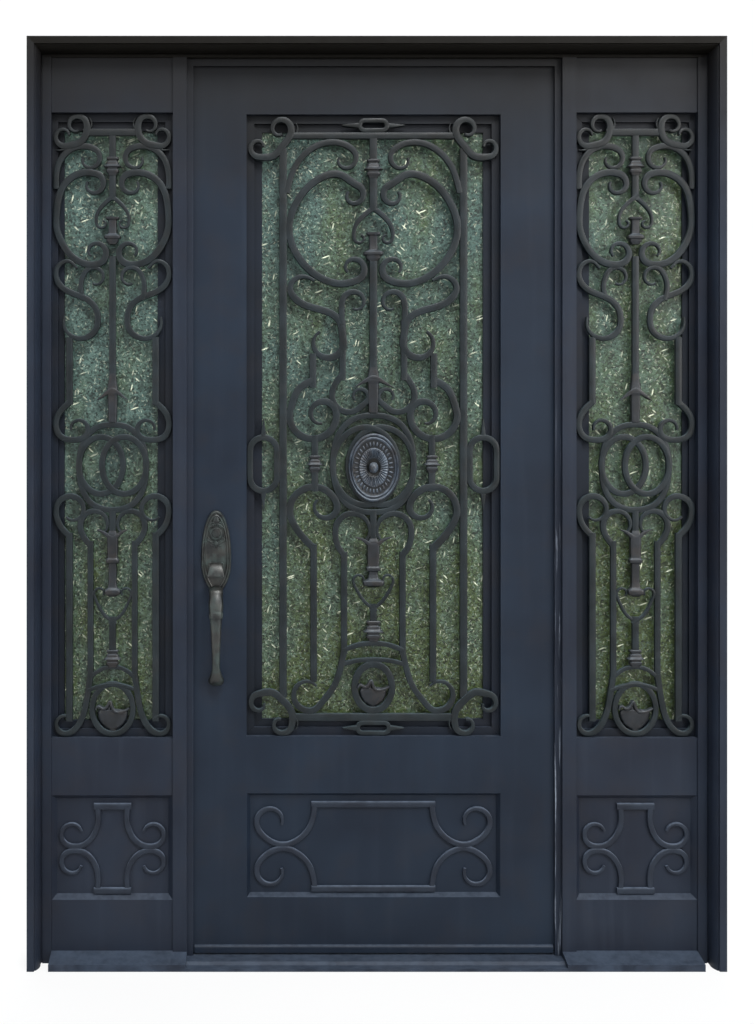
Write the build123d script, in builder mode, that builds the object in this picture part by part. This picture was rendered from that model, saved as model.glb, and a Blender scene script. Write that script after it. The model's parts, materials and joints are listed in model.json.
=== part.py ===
from build123d import *
from math import atan2, ceil, cos, degrees, pi, radians, sin
import os

os.makedirs("parts", exist_ok=True)

# Entry door of black painted wrought iron, with a fixed sidelight on each side.
# X runs across the front from left to right, Y from outside to inside, Z up.
# The origin is under the middle of the threshold, on the floor.

# Whole unit
unit_width = 1830
unit_height = 2445
half_width = unit_width / 2
casing_front = -75
frame_front = -20
frame_back = 65

# Moulded casing, measured inwards from its outer edge
casing_band = 19
casing_step = 7
casing_ledge = 22
casing_cove = 29
casing_groove = 32.5
groove_depth = 4
head_depth = 39
jamb_width = 56
head_bottom = unit_height - head_depth

# Mullions between the door and the sidelights, with the stop that the leaf closes against
mullion_outer = 536
mullion_inner = 499
stop_inner = 482
stop_front = -6
stop_back = 0
stop_cover = 19

# Levels that the leaf and the sidelights share
glazing_top = 2261
glazing_bottom = 597
panel_top = 446
panel_bottom = 166

# Door leaf
leaf_half = 491
leaf_bottom = 21
leaf_top = 2398
leaf_front = 5
leaf_back = 65
stile_inner = 340
leaf_glass_front = 40
grille_back = 22
grille_thickness = 14

# Moulding round the door's glass: an outer step and an inner step, with a quarter round between
moulding_step = 21
moulding_width = 42
glass_thickness = 18
glass_cover = 10
mitre_joint = 0.2

# Sidelights, between the jamb and the mullion
side_front = -15
side_back = 45
side_grille_back = 4
side_glass_front = 20
outer_narrow = 11
side_low = mullion_outer
side_high = half_width - jamb_width
side_middle = (side_low + side_high) / 2

# Sills
threshold_top = 15
threshold_nose = 8
side_sill_top = 32
side_sill_nose = 18

# Scrollwork: flat bar bent on edge, drawn out thinner towards its curled ends
bar_width = 19
light_bar = 16
side_bar = 18
foot_ring = 18
side_foot_ring = 15
side_grille_thickness = 12
curl_tip = 7
fine_tip = 6
draw_out = 110
facet_sagitta = 2.9
facet_turn = 52
casting_depth = 0.45

# Medallion
medallion_z = 1316
medallion_half_x = 68
medallion_half_z = 91
medallion_plate = 6
medallion_face = grille_back - grille_thickness - medallion_plate
medallion_sides = 22
petal_count = 14

# Lower panels and their ornaments
leaf_recess = 14
side_recess = 16
ornament_middle = 300
ornament_thickness = 9

# Hinges, on the inner face at the right
hinge_x = 497
hinge_y = 80
hinge_height = 130
knuckle_radius = 9
pin_radius = 5
hinge_plate = 36
hinge_levels = (300, 1260, 2150)

# Handleset
handle_x = -421
plate_thickness = 7
plate_top = 1202
plate_half = 40
plate_wide = 1075
plate_bottom = 970
plate_steps = 11
deadbolt_z = 1141
latch_z = 1026


def save(piece, node):
    """Labels a finished piece and writes it as one file."""
    piece.label = node
    export_step(piece, f"parts/{node}.step")


def save_pair(left_piece, name):
    """Writes a left piece and its mirror image on the right."""
    save(left_piece, "left_" + name)
    save(mirror(left_piece, about=Plane.YZ), "right_" + name)


def facing(y_back):
    """The upright plane at a depth: sketch X is X, sketch Y is Z, and extrusions come forward."""
    return Plane.XZ.offset(-y_back)


def slab(x_low, x_high, y_front, y_back, z_low, z_high):
    """A plain upright slab between two corners."""
    with BuildPart() as piece:
        with BuildSketch(facing(y_back)):
            with Locations(((x_low + x_high) / 2, (z_low + z_high) / 2)):
                Rectangle(x_high - x_low, z_high - z_low)
        extrude(amount=y_back - y_front)
    return piece.part


def casing_outline(width):
    """Section of the casing: flat band, ledge, cove, groove and inner band, from u = 0 outside."""
    with BuildLine() as line:
        Polyline(
            (casing_ledge, casing_front + casing_step),
            (casing_band, casing_front + casing_step),
            (casing_band, casing_front),
            (0, casing_front),
            (0, frame_back),
            (width, frame_back),
            (width, frame_front),
            (casing_groove, frame_front),
            (casing_groove, frame_front + groove_depth),
            (casing_cove, frame_front + groove_depth),
            (casing_cove, frame_front - 8),
        )
        SagittaArc((casing_cove, frame_front - 8), (casing_ledge, casing_front + casing_step), 4)
    return line.wires()[0]


# Jambs: the moulded casing mitred into the head, with a plain strip on its inner side
casing_section = casing_outline(head_depth)
mitre = Plane(origin=(-half_width, 0, unit_height), z_dir=(1, 0, 1))
with BuildPart() as jamb:
    with BuildSketch(Plane.XY):
        with Locations((-half_width, 0)):
            add(Face(casing_section))
    extrude(amount=unit_height)
    split(bisect_by=mitre, keep=Keep.BOTTOM)
    with BuildSketch(Plane.XY):
        with Locations((-half_width + (head_depth + jamb_width) / 2, (frame_front + frame_back) / 2)):
            Rectangle(jamb_width - head_depth, frame_back - frame_front)
    extrude(amount=head_bottom)
save_pair(jamb.part, "jamb")

# Head: the same moulding turned across the top, mitred at both ends
with BuildPart() as head:
    with BuildSketch(Plane(origin=(-half_width, 0, unit_height), x_dir=(0, 0, -1), z_dir=(1, 0, 0))):
        add(Face(casing_section))
    extrude(amount=unit_width)
    split(bisect_by=mitre, keep=Keep.TOP)
    split(bisect_by=Plane(origin=(half_width, 0, unit_height), z_dir=(-1, 0, 1)), keep=Keep.TOP)
save(head.part, "head")

# Mullions, rebated for the leaf, and the stop round the door opening
save_pair(slab(-mullion_outer, -mullion_inner, frame_front, frame_back, 0, head_bottom), "mullion")
with BuildPart() as stop:
    with BuildSketch(facing(stop_back)):
        with Locations((0, (threshold_top + head_bottom) / 2)):
            Rectangle(2 * mullion_inner, head_bottom - threshold_top)
        with Locations((0, (threshold_top + head_bottom - stop_cover) / 2)):
            Rectangle(2 * stop_inner, head_bottom - stop_cover - threshold_top, mode=Mode.SUBTRACT)
    extrude(amount=stop_back - stop_front)
save(stop.part, "door_stop")

# Threshold between the mullions, with a low tread in front of the door
with BuildPart() as threshold:
    with BuildSketch(Plane(origin=(-mullion_inner, 0, 0), x_dir=(0, 1, 0), z_dir=(1, 0, 0))):
        with BuildLine():
            Polyline(
                (casing_front, threshold_nose),
                (casing_front, 0),
                (frame_back, 0),
                (frame_back, threshold_top),
                (frame_front - 25, threshold_top),
                (frame_front - 32, threshold_nose),
                (casing_front, threshold_nose),
            )
        make_face()
    extrude(amount=2 * mullion_inner)
save(threshold.part, "threshold")

# Sidelight sills, sloped to shed water, running past the mullions in front of them
with BuildPart() as side_sill:
    with BuildSketch(Plane(origin=(-side_high, 0, 0), x_dir=(0, 1, 0), z_dir=(1, 0, 0))):
        with BuildLine():
            Polyline(
                (casing_front, side_sill_nose),
                (casing_front, 0),
                (side_back, 0),
                (side_back, side_sill_top),
                (side_front, side_sill_top),
                (casing_front, side_sill_nose),
            )
        make_face()
    extrude(amount=side_high - mullion_inner)
    with BuildSketch(facing(frame_back)):
        with Locations((-(mullion_outer + mullion_inner) / 2, 50)):
            Rectangle(mullion_outer - mullion_inner, 100)
    extrude(amount=frame_back - frame_front, mode=Mode.SUBTRACT)
save_pair(side_sill.part, "sidelight_sill")


def sunk_panel(x_low, x_high, z_low, z_high, y_front, y_back, depth, bevel):
    """A panel between rails whose face is sunk, with bevelled sides like a picture frame."""
    with BuildPart() as panel:
        with BuildSketch(facing(y_back)):
            with Locations(((x_low + x_high) / 2, (z_low + z_high) / 2)):
                Rectangle(x_high - x_low, z_high - z_low)
        extrude(amount=y_back - y_front)
        with BuildSketch(facing(y_front)):
            with Locations(((x_low + x_high) / 2, (z_low + z_high) / 2)):
                Rectangle(x_high - x_low - 2, z_high - z_low - 2)
        with BuildSketch(facing(y_front + depth)):
            with Locations(((x_low + x_high) / 2, (z_low + z_high) / 2)):
                Rectangle(x_high - x_low - 2 * bevel, z_high - z_low - 2 * bevel)
        loft(mode=Mode.SUBTRACT)
    return panel.part


def glazing_ring(x_middle, x_half, y_outer, y_inner, y_glass, y_back, narrow=0):
    """Stepped moulding round a pane: four lengths mitred at the corners and grooved for the glass.

    The length on the left may be narrower than the others.
    """
    height = glazing_top - glazing_bottom
    z_middle = (glazing_top + glazing_bottom) / 2
    cover = moulding_width - glass_cover
    with BuildPart() as ring:
        with BuildSketch(facing(y_back)):
            with Locations((x_middle, z_middle)):
                Rectangle(2 * x_half, height)
            with Locations((x_middle - narrow / 4, z_middle)):
                step_width = 2 * x_half - 2 * moulding_step + narrow / 2
                Rectangle(step_width, height - 2 * moulding_step, mode=Mode.SUBTRACT)
        extrude(amount=y_back - y_outer)
        with BuildSketch(facing(y_back)):
            with Locations((x_middle - narrow / 4, z_middle)):
                Rectangle(step_width, height - 2 * moulding_step)
            with Locations((x_middle - narrow / 2, z_middle)):
                opening_width = 2 * x_half - 2 * moulding_width + narrow
                Rectangle(opening_width, height - 2 * moulding_width, mode=Mode.SUBTRACT)
        extrude(amount=y_back - y_inner)
        with BuildSketch(facing(y_glass + glass_thickness)):
            with Locations((x_middle - narrow / 2, z_middle)):
                Rectangle(2 * (x_half - cover) + narrow, height - 2 * cover)
        extrude(amount=glass_thickness, mode=Mode.SUBTRACT)
        with BuildSketch(facing(y_back)):
            for side, width in ((-1, moulding_width - narrow), (1, moulding_width)):
                for level in (-1, 1):
                    x_corner = x_middle + side * (x_half - width / 2)
                    z_corner = z_middle + level * (height - moulding_width) / 2
                    slope = degrees(atan2(moulding_width, width))
                    with Locations((x_corner, z_corner)):
                        Rectangle(2 * moulding_width, mitre_joint, rotation=slope * side * level)
        extrude(amount=y_back - y_outer, mode=Mode.SUBTRACT)
    return ring.part


def pane(x_middle, x_half, y_glass, narrow=0):
    """Sealed glass unit held in the ring's groove."""
    cover = moulding_width - glass_cover
    return slab(
        x_middle - x_half + cover - narrow,
        x_middle + x_half - cover,
        y_glass,
        y_glass + glass_thickness,
        glazing_bottom + cover,
        glazing_top - cover,
    )


# Sidelight infill
side_half = (side_high - side_low) / 2
save_pair(slab(-side_high, -side_low, side_front, side_back, glazing_top, head_bottom), "sidelight_top_panel")
save_pair(slab(-side_high, -side_low, side_front, side_back, panel_top, glazing_bottom), "sidelight_mid_rail")
save_pair(
    sunk_panel(-side_high, -side_low, panel_bottom, panel_top, side_front, side_back, side_recess, 13),
    "sidelight_lower_panel",
)
save_pair(
    slab(-side_high, -side_low, side_front, side_back, side_sill_top, panel_bottom),
    "sidelight_bottom_rail",
)
side_step = side_glass_front - 8
save_pair(
    glazing_ring(
        -side_middle, side_half, side_grille_back, side_step, side_glass_front, side_back, outer_narrow
    ),
    "sidelight_glazing_frame",
)
save_pair(pane(-side_middle, side_half, side_glass_front, outer_narrow), "sidelight_glass")

# Door leaf: two stiles, three rails, a sunk lower panel and the glazed opening
save(slab(stile_inner, leaf_half, leaf_front, leaf_back, leaf_bottom, leaf_top), "hinge_stile")
save(slab(-leaf_half, -stile_inner, leaf_front, leaf_back, leaf_bottom, leaf_top), "lock_stile")
save(slab(-stile_inner, stile_inner, leaf_front, leaf_back, glazing_top, leaf_top), "door_top_rail")
save(slab(-stile_inner, stile_inner, leaf_front, leaf_back, panel_top, glazing_bottom), "door_mid_rail")
save(slab(-stile_inner, stile_inner, leaf_front, leaf_back, leaf_bottom, panel_bottom), "door_bottom_rail")
save(
    sunk_panel(-stile_inner, stile_inner, panel_bottom, panel_top, leaf_front, leaf_back, leaf_recess, 10),
    "door_lower_panel",
)
save(
    glazing_ring(0, stile_inner, grille_back, leaf_glass_front - 8, leaf_glass_front, leaf_back),
    "door_glazing_frame",
)
save(pane(0, stile_inner, leaf_glass_front), "door_glass")

# Drip strip along the foot of the leaf
with BuildPart() as drip:
    with BuildSketch(Plane(origin=(-leaf_half + 12, 0, 0), x_dir=(0, 1, 0), z_dir=(1, 0, 0))):
        with BuildLine():
            Line((leaf_front, leaf_bottom + 20), (leaf_front, leaf_bottom))
            Line((leaf_front, leaf_bottom), (leaf_front - 8, leaf_bottom))
            Line((leaf_front - 8, leaf_bottom), (leaf_front - 8, leaf_bottom + 12))
            TangentArc((leaf_front - 8, leaf_bottom + 12), (leaf_front, leaf_bottom + 20), tangent=(0, 1))
        make_face()
    extrude(amount=2 * leaf_half - 24)
save(drip.part, "drip_strip")

# Three butt hinges inside, on the right: pins and lower knuckles on the frame, upper ones on the leaf
hinge_line = (hinge_x, hinge_y)
with BuildPart() as frame_hinges:
    for z_hinge in hinge_levels:
        z_low = z_hinge - hinge_height / 2
        with BuildSketch(Plane.XY.offset(z_low)):
            with Locations(hinge_line):
                RegularPolygon(knuckle_radius, 12)
            with Locations((hinge_x + 4 + hinge_plate / 2, frame_back + 2)):
                Rectangle(hinge_plate, 4)
            with Locations((hinge_x + 6.5, (frame_back + hinge_y) / 2)):
                Rectangle(5, hinge_y - frame_back)
        extrude(amount=hinge_height / 2 - 0.5)
        with BuildSketch(Plane.XY.offset(z_low)):
            with Locations(hinge_line):
                RegularPolygon(pin_radius, 8)
        extrude(amount=hinge_height + 4)
        with BuildSketch(Plane.XY.offset(z_low + hinge_height + 0.5)):
            with Locations(hinge_line):
                RegularPolygon(knuckle_radius - 1, 12)
        extrude(amount=5)
save(frame_hinges.part, "frame_hinges")
with BuildPart() as leaf_hinges:
    for z_hinge in hinge_levels:
        with BuildSketch(Plane.XY.offset(z_hinge + 0.5)):
            with Locations(hinge_line):
                RegularPolygon(knuckle_radius, 12)
            with Locations((hinge_x - 6 - hinge_plate / 2, leaf_back + 2)):
                Rectangle(hinge_plate, 4)
            with Locations((hinge_x - 6.5, (leaf_back + hinge_y) / 2)):
                Rectangle(5, hinge_y - leaf_back)
            with Locations(hinge_line):
                RegularPolygon(pin_radius + 0.4, 8, major_radius=False, mode=Mode.SUBTRACT)
        extrude(amount=hinge_height / 2 - 0.5)
save(leaf_hinges.part, "door_hinges")


def curl(x, z, radius, angle, turn, eye=0.4):
    """Points of a curl round a centre: where it starts, how far it turns, and how far it closes in."""
    steps = ceil(abs(turn) / 45)
    points = []
    for step in range(steps + 1):
        part = step / steps
        reach = radius * (1 - (1 - eye) * part**1.5)
        heading = radians(angle + turn * part)
        points.append((x + reach * cos(heading), z + reach * sin(heading)))
    return points


def bar(points, width=bar_width, start_width=None, end_width=None):
    """Outline of a bar along a smooth path, with corners close enough to look round."""
    with BuildLine() as path:
        Spline(*points)
    curve = path.edges()[0]
    length = curve.length
    samples = int(length / 3) + 30
    corners = [0]
    turned = 0
    last = curve.tangent_at(0)
    for sample in range(1, samples):
        heading = curve.tangent_at(sample / samples)
        turned += last.get_angle(heading)
        last = heading
        run = length * (sample / samples - corners[-1])
        if turned > facet_turn or run * radians(turned) / 8 > facet_sagitta:
            corners.append(sample / samples)
            turned = 0
    corners.append(1)
    left = []
    right = []
    for corner in corners:
        half = width / 2
        if start_width is not None and corner * length < draw_out:
            half = (start_width + (width - start_width) * corner * length / draw_out) / 2
        if end_width is not None and (1 - corner) * length < draw_out:
            half = (end_width + (width - end_width) * (1 - corner) * length / draw_out) / 2
        here = curve.position_at(corner)
        along = curve.tangent_at(corner)
        left.append((here.X - along.Y * half, here.Y + along.X * half))
        right.append((here.X + along.Y * half, here.Y - along.X * half))
    with BuildSketch() as outline:
        with BuildLine():
            Polyline(*left, *reversed(right), close=True)
        make_face()
    return outline.sketch


def oval(x, z, half_x, half_z, sides=32, fullness=0):
    """A filled oval, sized by its half axes, with its shoulders filled out a little."""
    corners = []
    for side in range(sides):
        heading = 2 * pi * side / sides
        reach = 1 + fullness * sin(2 * heading) ** 2
        corners.append((x + half_x * reach * cos(heading), z + half_z * reach * sin(heading)))
    with BuildSketch() as shape:
        with BuildLine():
            Polyline(*corners, close=True)
        make_face()
    return shape.sketch


def oval_ring(x, z, half_x, half_z, width, sides=32, fullness=0):
    """An oval ring of flat bar, sized by its outer half axes."""
    with BuildSketch() as ring:
        add(oval(x, z, half_x, half_z, sides, fullness))
        add(oval(x, z, half_x - width, half_z - width, sides, fullness), mode=Mode.SUBTRACT)
    return ring.sketch


def spindle_ring(x, z, long, short, slot_long, slot_short, tip, turn=0):
    """A flat link with a long slot and a point at each end."""
    with BuildSketch() as link:
        Rectangle(long - short, short)
        with GridLocations(long - short, 0, 2, 1):
            RegularPolygon(short / 2, 12)
        with BuildLine():
            Polyline((-tip, 0), (0, 9), (tip, 0), (0, -9), close=True)
        make_face()
        Rectangle(slot_long - slot_short, slot_short, mode=Mode.SUBTRACT)
        with GridLocations(slot_long - slot_short, 0, 2, 1):
            RegularPolygon(slot_short / 2, 8, mode=Mode.SUBTRACT)
    return link.sketch.moved(Location((x, z, 0), (0, 0, turn)))


def straight(x_low, x_high, z_low, z_high):
    """A straight piece of bar between two corners."""
    with BuildSketch() as piece:
        with Locations(((x_low + x_high) / 2, (z_low + z_high) / 2)):
            Rectangle(x_high - x_low, z_high - z_low)
    return piece.sketch


# Door grille, left half, in millimetres from the door's middle line and from the floor
door_scrolls = [
    # corner scroll at the top: curled over the top bar and out to the side
    bar(
        curl(-249, 2222, 29, 0, 290, 0.45)[::-1]
        + [(-243, 2178), (-270, 2151)]
        + curl(-306, 2174, 26, -85, -265),
        start_width=curl_tip,
        end_width=curl_tip,
    ),
    # corner scroll at the foot
    bar(
        curl(-304, 683, 27, 90, 265)[::-1]
        + [(-276, 714), (-242, 691), (-219, 660)]
        + curl(-247, 630, 29, 0, -265),
        start_width=curl_tip,
        end_width=curl_tip,
    ),
    # quarter arch from the side bar to a curl beside the staff
    bar(
        [(-232, 2052), (-211, 2120), (-173, 2166), (-119, 2188)] + curl(-78, 2144, 34, 60, -250),
        light_bar,
        None,
        fine_tip,
    ),
    # large C scroll
    bar(
        curl(-54, 2047, 29, 75, -290, 0.5)[::-1]
        + [(-90, 2102), (-146, 2090), (-203, 2032), (-226, 1958), (-203, 1884), (-153, 1832), (-98, 1810)]
        + curl(-55, 1849, 33, -75, 290, 0.5),
        start_width=curl_tip,
        end_width=curl_tip,
    ),
    # half of the heart
    bar([(0, 2012), (-28, 1990), (-50, 1958)] + curl(-36, 1933, 16, 180, 250), 13, None, fine_tip),
    # S scroll under the C scroll
    bar(
        [(-158, 1818), (-196, 1828), (-223, 1802), (-206, 1766), (-127, 1735), (-92, 1711)]
        + curl(-123, 1652, 44, 20, -255, 0.8),
        start_width=8,
        end_width=curl_tip,
    ),
    # hook beside the staff
    bar([(-84, 1700), (-85, 1740)] + curl(-50, 1757, 33, 170, -280, 0.45), light_bar, None, fine_tip),
    # snail scrolls beside and below the spear
    bar(
        [(-162, 1550), (-198, 1528)] + curl(-162, 1456, 63, 155, 190, 1) + curl(-137, 1457, 38, 30, 240, 0.6),
        end_width=curl_tip,
    ),
    bar(
        [(-82, 1568), (-103, 1538)] + curl(-66, 1510, 45, 170, 150, 1) + curl(-37, 1505, 24, 0, 210, 0.6),
        light_bar,
        None,
        fine_tip,
    ),
    # snail scrolls that start the lower half
    bar(
        [(-160, 1100), (-186, 1126), (-213, 1164)] + curl(-160, 1200, 64, 190, -180, 1)
        + curl(-130, 1213, 34, -20, -200, 0.75),
        end_width=curl_tip,
    ),
    bar([(-78, 1080), (-96, 1108)] + curl(-54, 1146, 48, 185, -225, 0.9), light_bar, None, fine_tip),
    # flare that ends the inner bars
    bar(
        [(-78, 826), (-88, 780), (-107, 727), (-136, 688)] + curl(-173, 709, 45, -75, -240, 0.65),
        light_bar,
        None,
        fine_tip,
    ),
    # upright bars
    straight(-252, -232, 706, 2160),
    straight(-171, -153, 1530, 1622),
    straight(-91, -74, 1550, 1712),
    straight(-166, -148, 1252, 1402),
    straight(-169, -151, 742, 1110),
    straight(-87, -70, 816, 1090),
    # lyre arm under the tulip
    bar([(0, 938), (-19, 952), (-40, 980)] + curl(-37, 1013, 17, 205, -230, 0.6), 9, None, 5),
    # tie bars between the inner bars
    bar([(-80, 826), (-42, 840), (0, 845), (42, 840), (80, 826)], 13),
    bar([(-86, 788), (-44, 798), (0, 801), (44, 798), (86, 788)], 12),
    # slotted link between the side bar and the moulding
    spindle_ring(-294.5, 1325, 160, 89, 122, 56, 122, 90),
    # one of the two interlocked ovals round the medallion
    oval_ring(-21, 1320, 96, 112, light_bar, 24),
]
door_middle_work = [
    oval_ring(0, 1326, 116, 138, light_bar, 32, 0.06),
    oval_ring(0, 727, 59, 71, foot_ring, 24),
    straight(-220, 220, 2197, 2214),
    straight(-214, 214, 637, 657),
    straight(-10, 10, 2006, 2200),
    straight(-10, 10, 1462, 1897),
    straight(-9, 9, 1052, 1200),
    straight(-9, 9, 840, 950),
    spindle_ring(0, 2233, 85, 38, 64, 14, 84),
    spindle_ring(0, 618, 96, 40, 64, 12, 82),
]

# Sidelight grille, left half, from the sidelight's own middle line
side_scrolls = [
    # corner scroll at the top
    bar(
        curl(-95, 2228, 27, 0, 290, 0.5)[::-1] + [(-84, 2186)] + curl(-128, 2200, 27, -70, -275, 0.45),
        side_bar,
        fine_tip,
        fine_tip,
    ),
    # quarter arch from the moulding to a curl beside the staff
    bar(
        [(-150, 2060), (-149, 2106), (-131, 2149), (-99, 2171)] + curl(-63, 2140, 31, 75, -270, 0.5),
        light_bar,
        None,
        fine_tip,
    ),
    # C scroll
    bar(
        curl(-52, 2072, 30, 85, -290, 0.5)[::-1]
        + [(-95, 2098), (-130, 2069), (-149, 1997), (-149, 1957), (-131, 1909), (-103, 1875), (-63, 1858)]
        + curl(-46, 1890, 31, -75, 290, 0.5),
        side_bar,
        fine_tip,
        fine_tip,
    ),
    # half of the heart
    bar([(0, 2039), (-23, 2019), (-43, 1987)] + curl(-28, 1969, 15, 185, 240), 11, None, 5),
    # S scroll under the C scroll
    bar(
        [(-95, 1848), (-118, 1867), (-142, 1857), (-151, 1830)]
        + [(-140, 1803), (-109, 1782), (-70, 1766), (-44, 1738)]
        + curl(-87, 1707, 48, 5, -200, 0.9),
        light_bar,
        curl_tip,
        fine_tip,
    ),
    # hook beside the staff
    bar([(-78, 1764), (-85, 1800)] + curl(-48, 1822, 30, 160, -270, 0.5), 13, None, fine_tip),
    # hook at the foot of the side bar
    bar(
        [(-115, 1490), (-139, 1466), (-151, 1436), (-139, 1400), (-106, 1390)]
        + curl(-92, 1419, 27, -50, 240, 0.7),
        light_bar,
        None,
        fine_tip,
    ),
    # hooks that start the lower half
    bar([(-116, 1134), (-138, 1158)] + curl(-110, 1202, 41, 190, -320, 0.55), light_bar, None, fine_tip),
    bar([(-59, 1108), (-74, 1126)] + curl(-47, 1163, 39, 180, -230, 0.8), light_bar, None, fine_tip),
    # flare that ends the inner bars
    bar(
        [(-59, 764), (-68, 702), (-80, 652), (-102, 617)] + curl(-126, 632, 26, -60, -260, 0.8),
        light_bar,
        None,
        fine_tip,
    ),
    # upright bars
    straight(-124, -106, 1484, 1664),
    straight(-124, -106, 640, 1142),
    straight(-67, -51, 758, 1120),
    # lyre arm under the tulip
    bar([(0, 906), (-20, 920), (-38, 948)] + curl(-34, 980, 16, 205, -230, 0.6), 9, None, 5),
    # tie bars between the inner bars
    bar([(-59, 756), (-30, 778), (0, 784), (30, 778), (59, 756)], 11),
    bar([(-66, 722), (-30, 734), (0, 738), (30, 734), (66, 722)], 10),
    # one of the two interlocked ovals
    oval_ring(-31, 1322, 67, 84, light_bar, 22),
]
side_middle_work = [
    oval_ring(0, 1317, 97, 122, light_bar, 28, 0.06),
    oval_ring(0, 672, 62, 74, side_foot_ring, 24),
    straight(-78, 78, 2201, 2220),
    straight(-9, 9, 2030, 2204),
    straight(-9, 9, 1436, 1880),
    straight(-9, 9, 1075, 1200),
    straight(-9, 9, 780, 918),
]


def scrollwork(half_work, middle_work, y_back, thickness, x=0):
    """Extrudes the left half, its mirror image and what stands on the middle line as one forging."""
    with BuildPart() as work:
        with BuildSketch(facing(y_back)):
            add(half_work)
            mirror(about=Plane.YZ)
            add(middle_work)
        extrude(amount=thickness)
    return work.part.moved(Location((x, 0, 0)))


def casting(profile, y_back, thickness, x=0):
    """A four-sided moulded casting on an upright bar, from half widths and heights, deepest where widest."""
    y_middle = y_back - thickness / 2
    front = [(half, z) for half, z in profile] + [(-half, z) for half, z in reversed(profile)]
    side = [(y_back, profile[0][1])]
    side += [(y_middle - casting_depth * half, z) for half, z in profile]
    side += [(y_back, profile[-1][1])]
    with BuildPart() as piece:
        with BuildSketch(facing(y_back)):
            with BuildLine():
                Polyline(*front, close=True)
            make_face()
        extrude(amount=60)
        with BuildSketch(Plane.YZ.offset(-60)):
            with BuildLine():
                Polyline(*side, close=True)
            make_face()
        extrude(amount=120, mode=Mode.INTERSECT)
    return piece.part.moved(Location((x, 0, 0)))


def wings(z_root, z_tip, half_span, y_back, thickness):
    """A pair of thin leaves that reach out from the staff."""
    z_half_way = (z_root + z_tip) / 2
    with BuildPart() as pair:
        with BuildSketch(facing(y_back)):
            with BuildLine():
                Polyline(
                    (-half_span, z_tip),
                    (-half_span / 2, z_half_way + 3),
                    (0, z_root),
                    (half_span / 2, z_half_way + 3),
                    (half_span, z_tip),
                    (half_span / 2, z_half_way - 5),
                    (0, z_root - 15),
                    (-half_span / 2, z_half_way - 5),
                    close=True,
                )
            make_face()
        extrude(amount=thickness + 3)
    return pair.part


def collar(z, height, widest):
    """Profile of a moulded collar: a cap, a waist, the widest plate, a waist and a foot."""
    return [
        (widest * 0.62, z + height),
        (widest * 0.72, z + height * 0.86),
        (widest * 0.52, z + height * 0.78),
        (widest * 0.6, z + height * 0.66),
        (widest, z + height * 0.56),
        (widest, z + height * 0.4),
        (widest * 0.6, z + height * 0.34),
        (widest * 0.72, z + height * 0.2),
        (widest * 0.56, z),
    ]


def socket(z_cap, z_foot, cap, shaft, foot):
    """Profile of a socket: cap plate, shaft, wide foot plate and a funnel under it."""
    return [
        (cap, z_cap),
        (cap, z_cap - 5),
        (shaft, z_cap - 9),
        (shaft, z_foot + 28),
        (foot, z_foot + 23),
        (foot, z_foot + 15),
        (foot * 0.72, z_foot + 12),
        (shaft, z_foot),
    ]


def spear(z_top, z_foot):
    """Profile of a spear head: narrow at the top and swelling towards its foot."""
    return [(7, z_top), (12, z_top - 12), (12.5, (z_top + z_foot) / 2), (17, z_foot)]


def tulip(z_top, z_flange, flange):
    """Profile of a tulip: body, band, neck and saucer flange."""
    return [
        (13, z_top),
        (17, z_top - 12),
        (15, z_top - 62),
        (20, z_top - 70),
        (20, z_top - 80),
        (12, z_top - 86),
        (14, z_flange + 24),
        (flange, z_flange + 15),
        (flange, z_flange + 8),
        (10, z_flange),
    ]


# Door grille and the castings seated over its bars
door_grille = scrollwork(door_scrolls, door_middle_work, grille_back, grille_thickness)
save(door_grille, "door_grille")

with BuildPart() as door_castings:
    add(casting(collar(2092, 50, 25), grille_back, grille_thickness))
    add(casting(socket(1946, 1870, 19, 12, 27), grille_back, grille_thickness))
    add(casting(collar(1302, 46, 22), grille_back, grille_thickness, -157))
    add(casting(collar(1302, 46, 22), grille_back, grille_thickness, 157))
    add(casting(spear(1612, 1552), grille_back, grille_thickness))
    add(wings(1562, 1530, 54, grille_back, grille_thickness))
    add(casting(tulip(1124, 995, 29), grille_back, grille_thickness))
    add(wings(1110, 1130, 50, grille_back, grille_thickness))
    add(casting(collar(851, 53, 27), grille_back, grille_thickness))
    add(door_grille, mode=Mode.SUBTRACT)
save(door_castings.part, "door_grille_castings")


def bowl(z_middle, half_x, half_z, sides, y_back, thickness):
    """A cast bowl that fills the lower half of an oval ring, with a waved rim and a leaf above it."""
    with BuildPart() as piece:
        with BuildSketch(facing(y_back)):
            add(oval(0, z_middle, half_x, half_z, sides))
            with BuildLine():
                Polyline(
                    (-half_x, z_middle + half_z),
                    (-half_x, z_middle + 2),
                    (-half_x * 0.7, z_middle - 2),
                    (-half_x * 0.36, z_middle - 8),
                    (0, z_middle + half_z * 0.45),
                    (half_x * 0.36, z_middle - 8),
                    (half_x * 0.7, z_middle - 2),
                    (half_x, z_middle + 2),
                    (half_x, z_middle + half_z),
                    close=True,
                )
            make_face(mode=Mode.SUBTRACT)
        extrude(amount=thickness - 3)
    return piece.part


save(bowl(727, 59 - foot_ring, 71 - foot_ring, 24, grille_back, grille_thickness), "door_grille_bowl")

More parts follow.
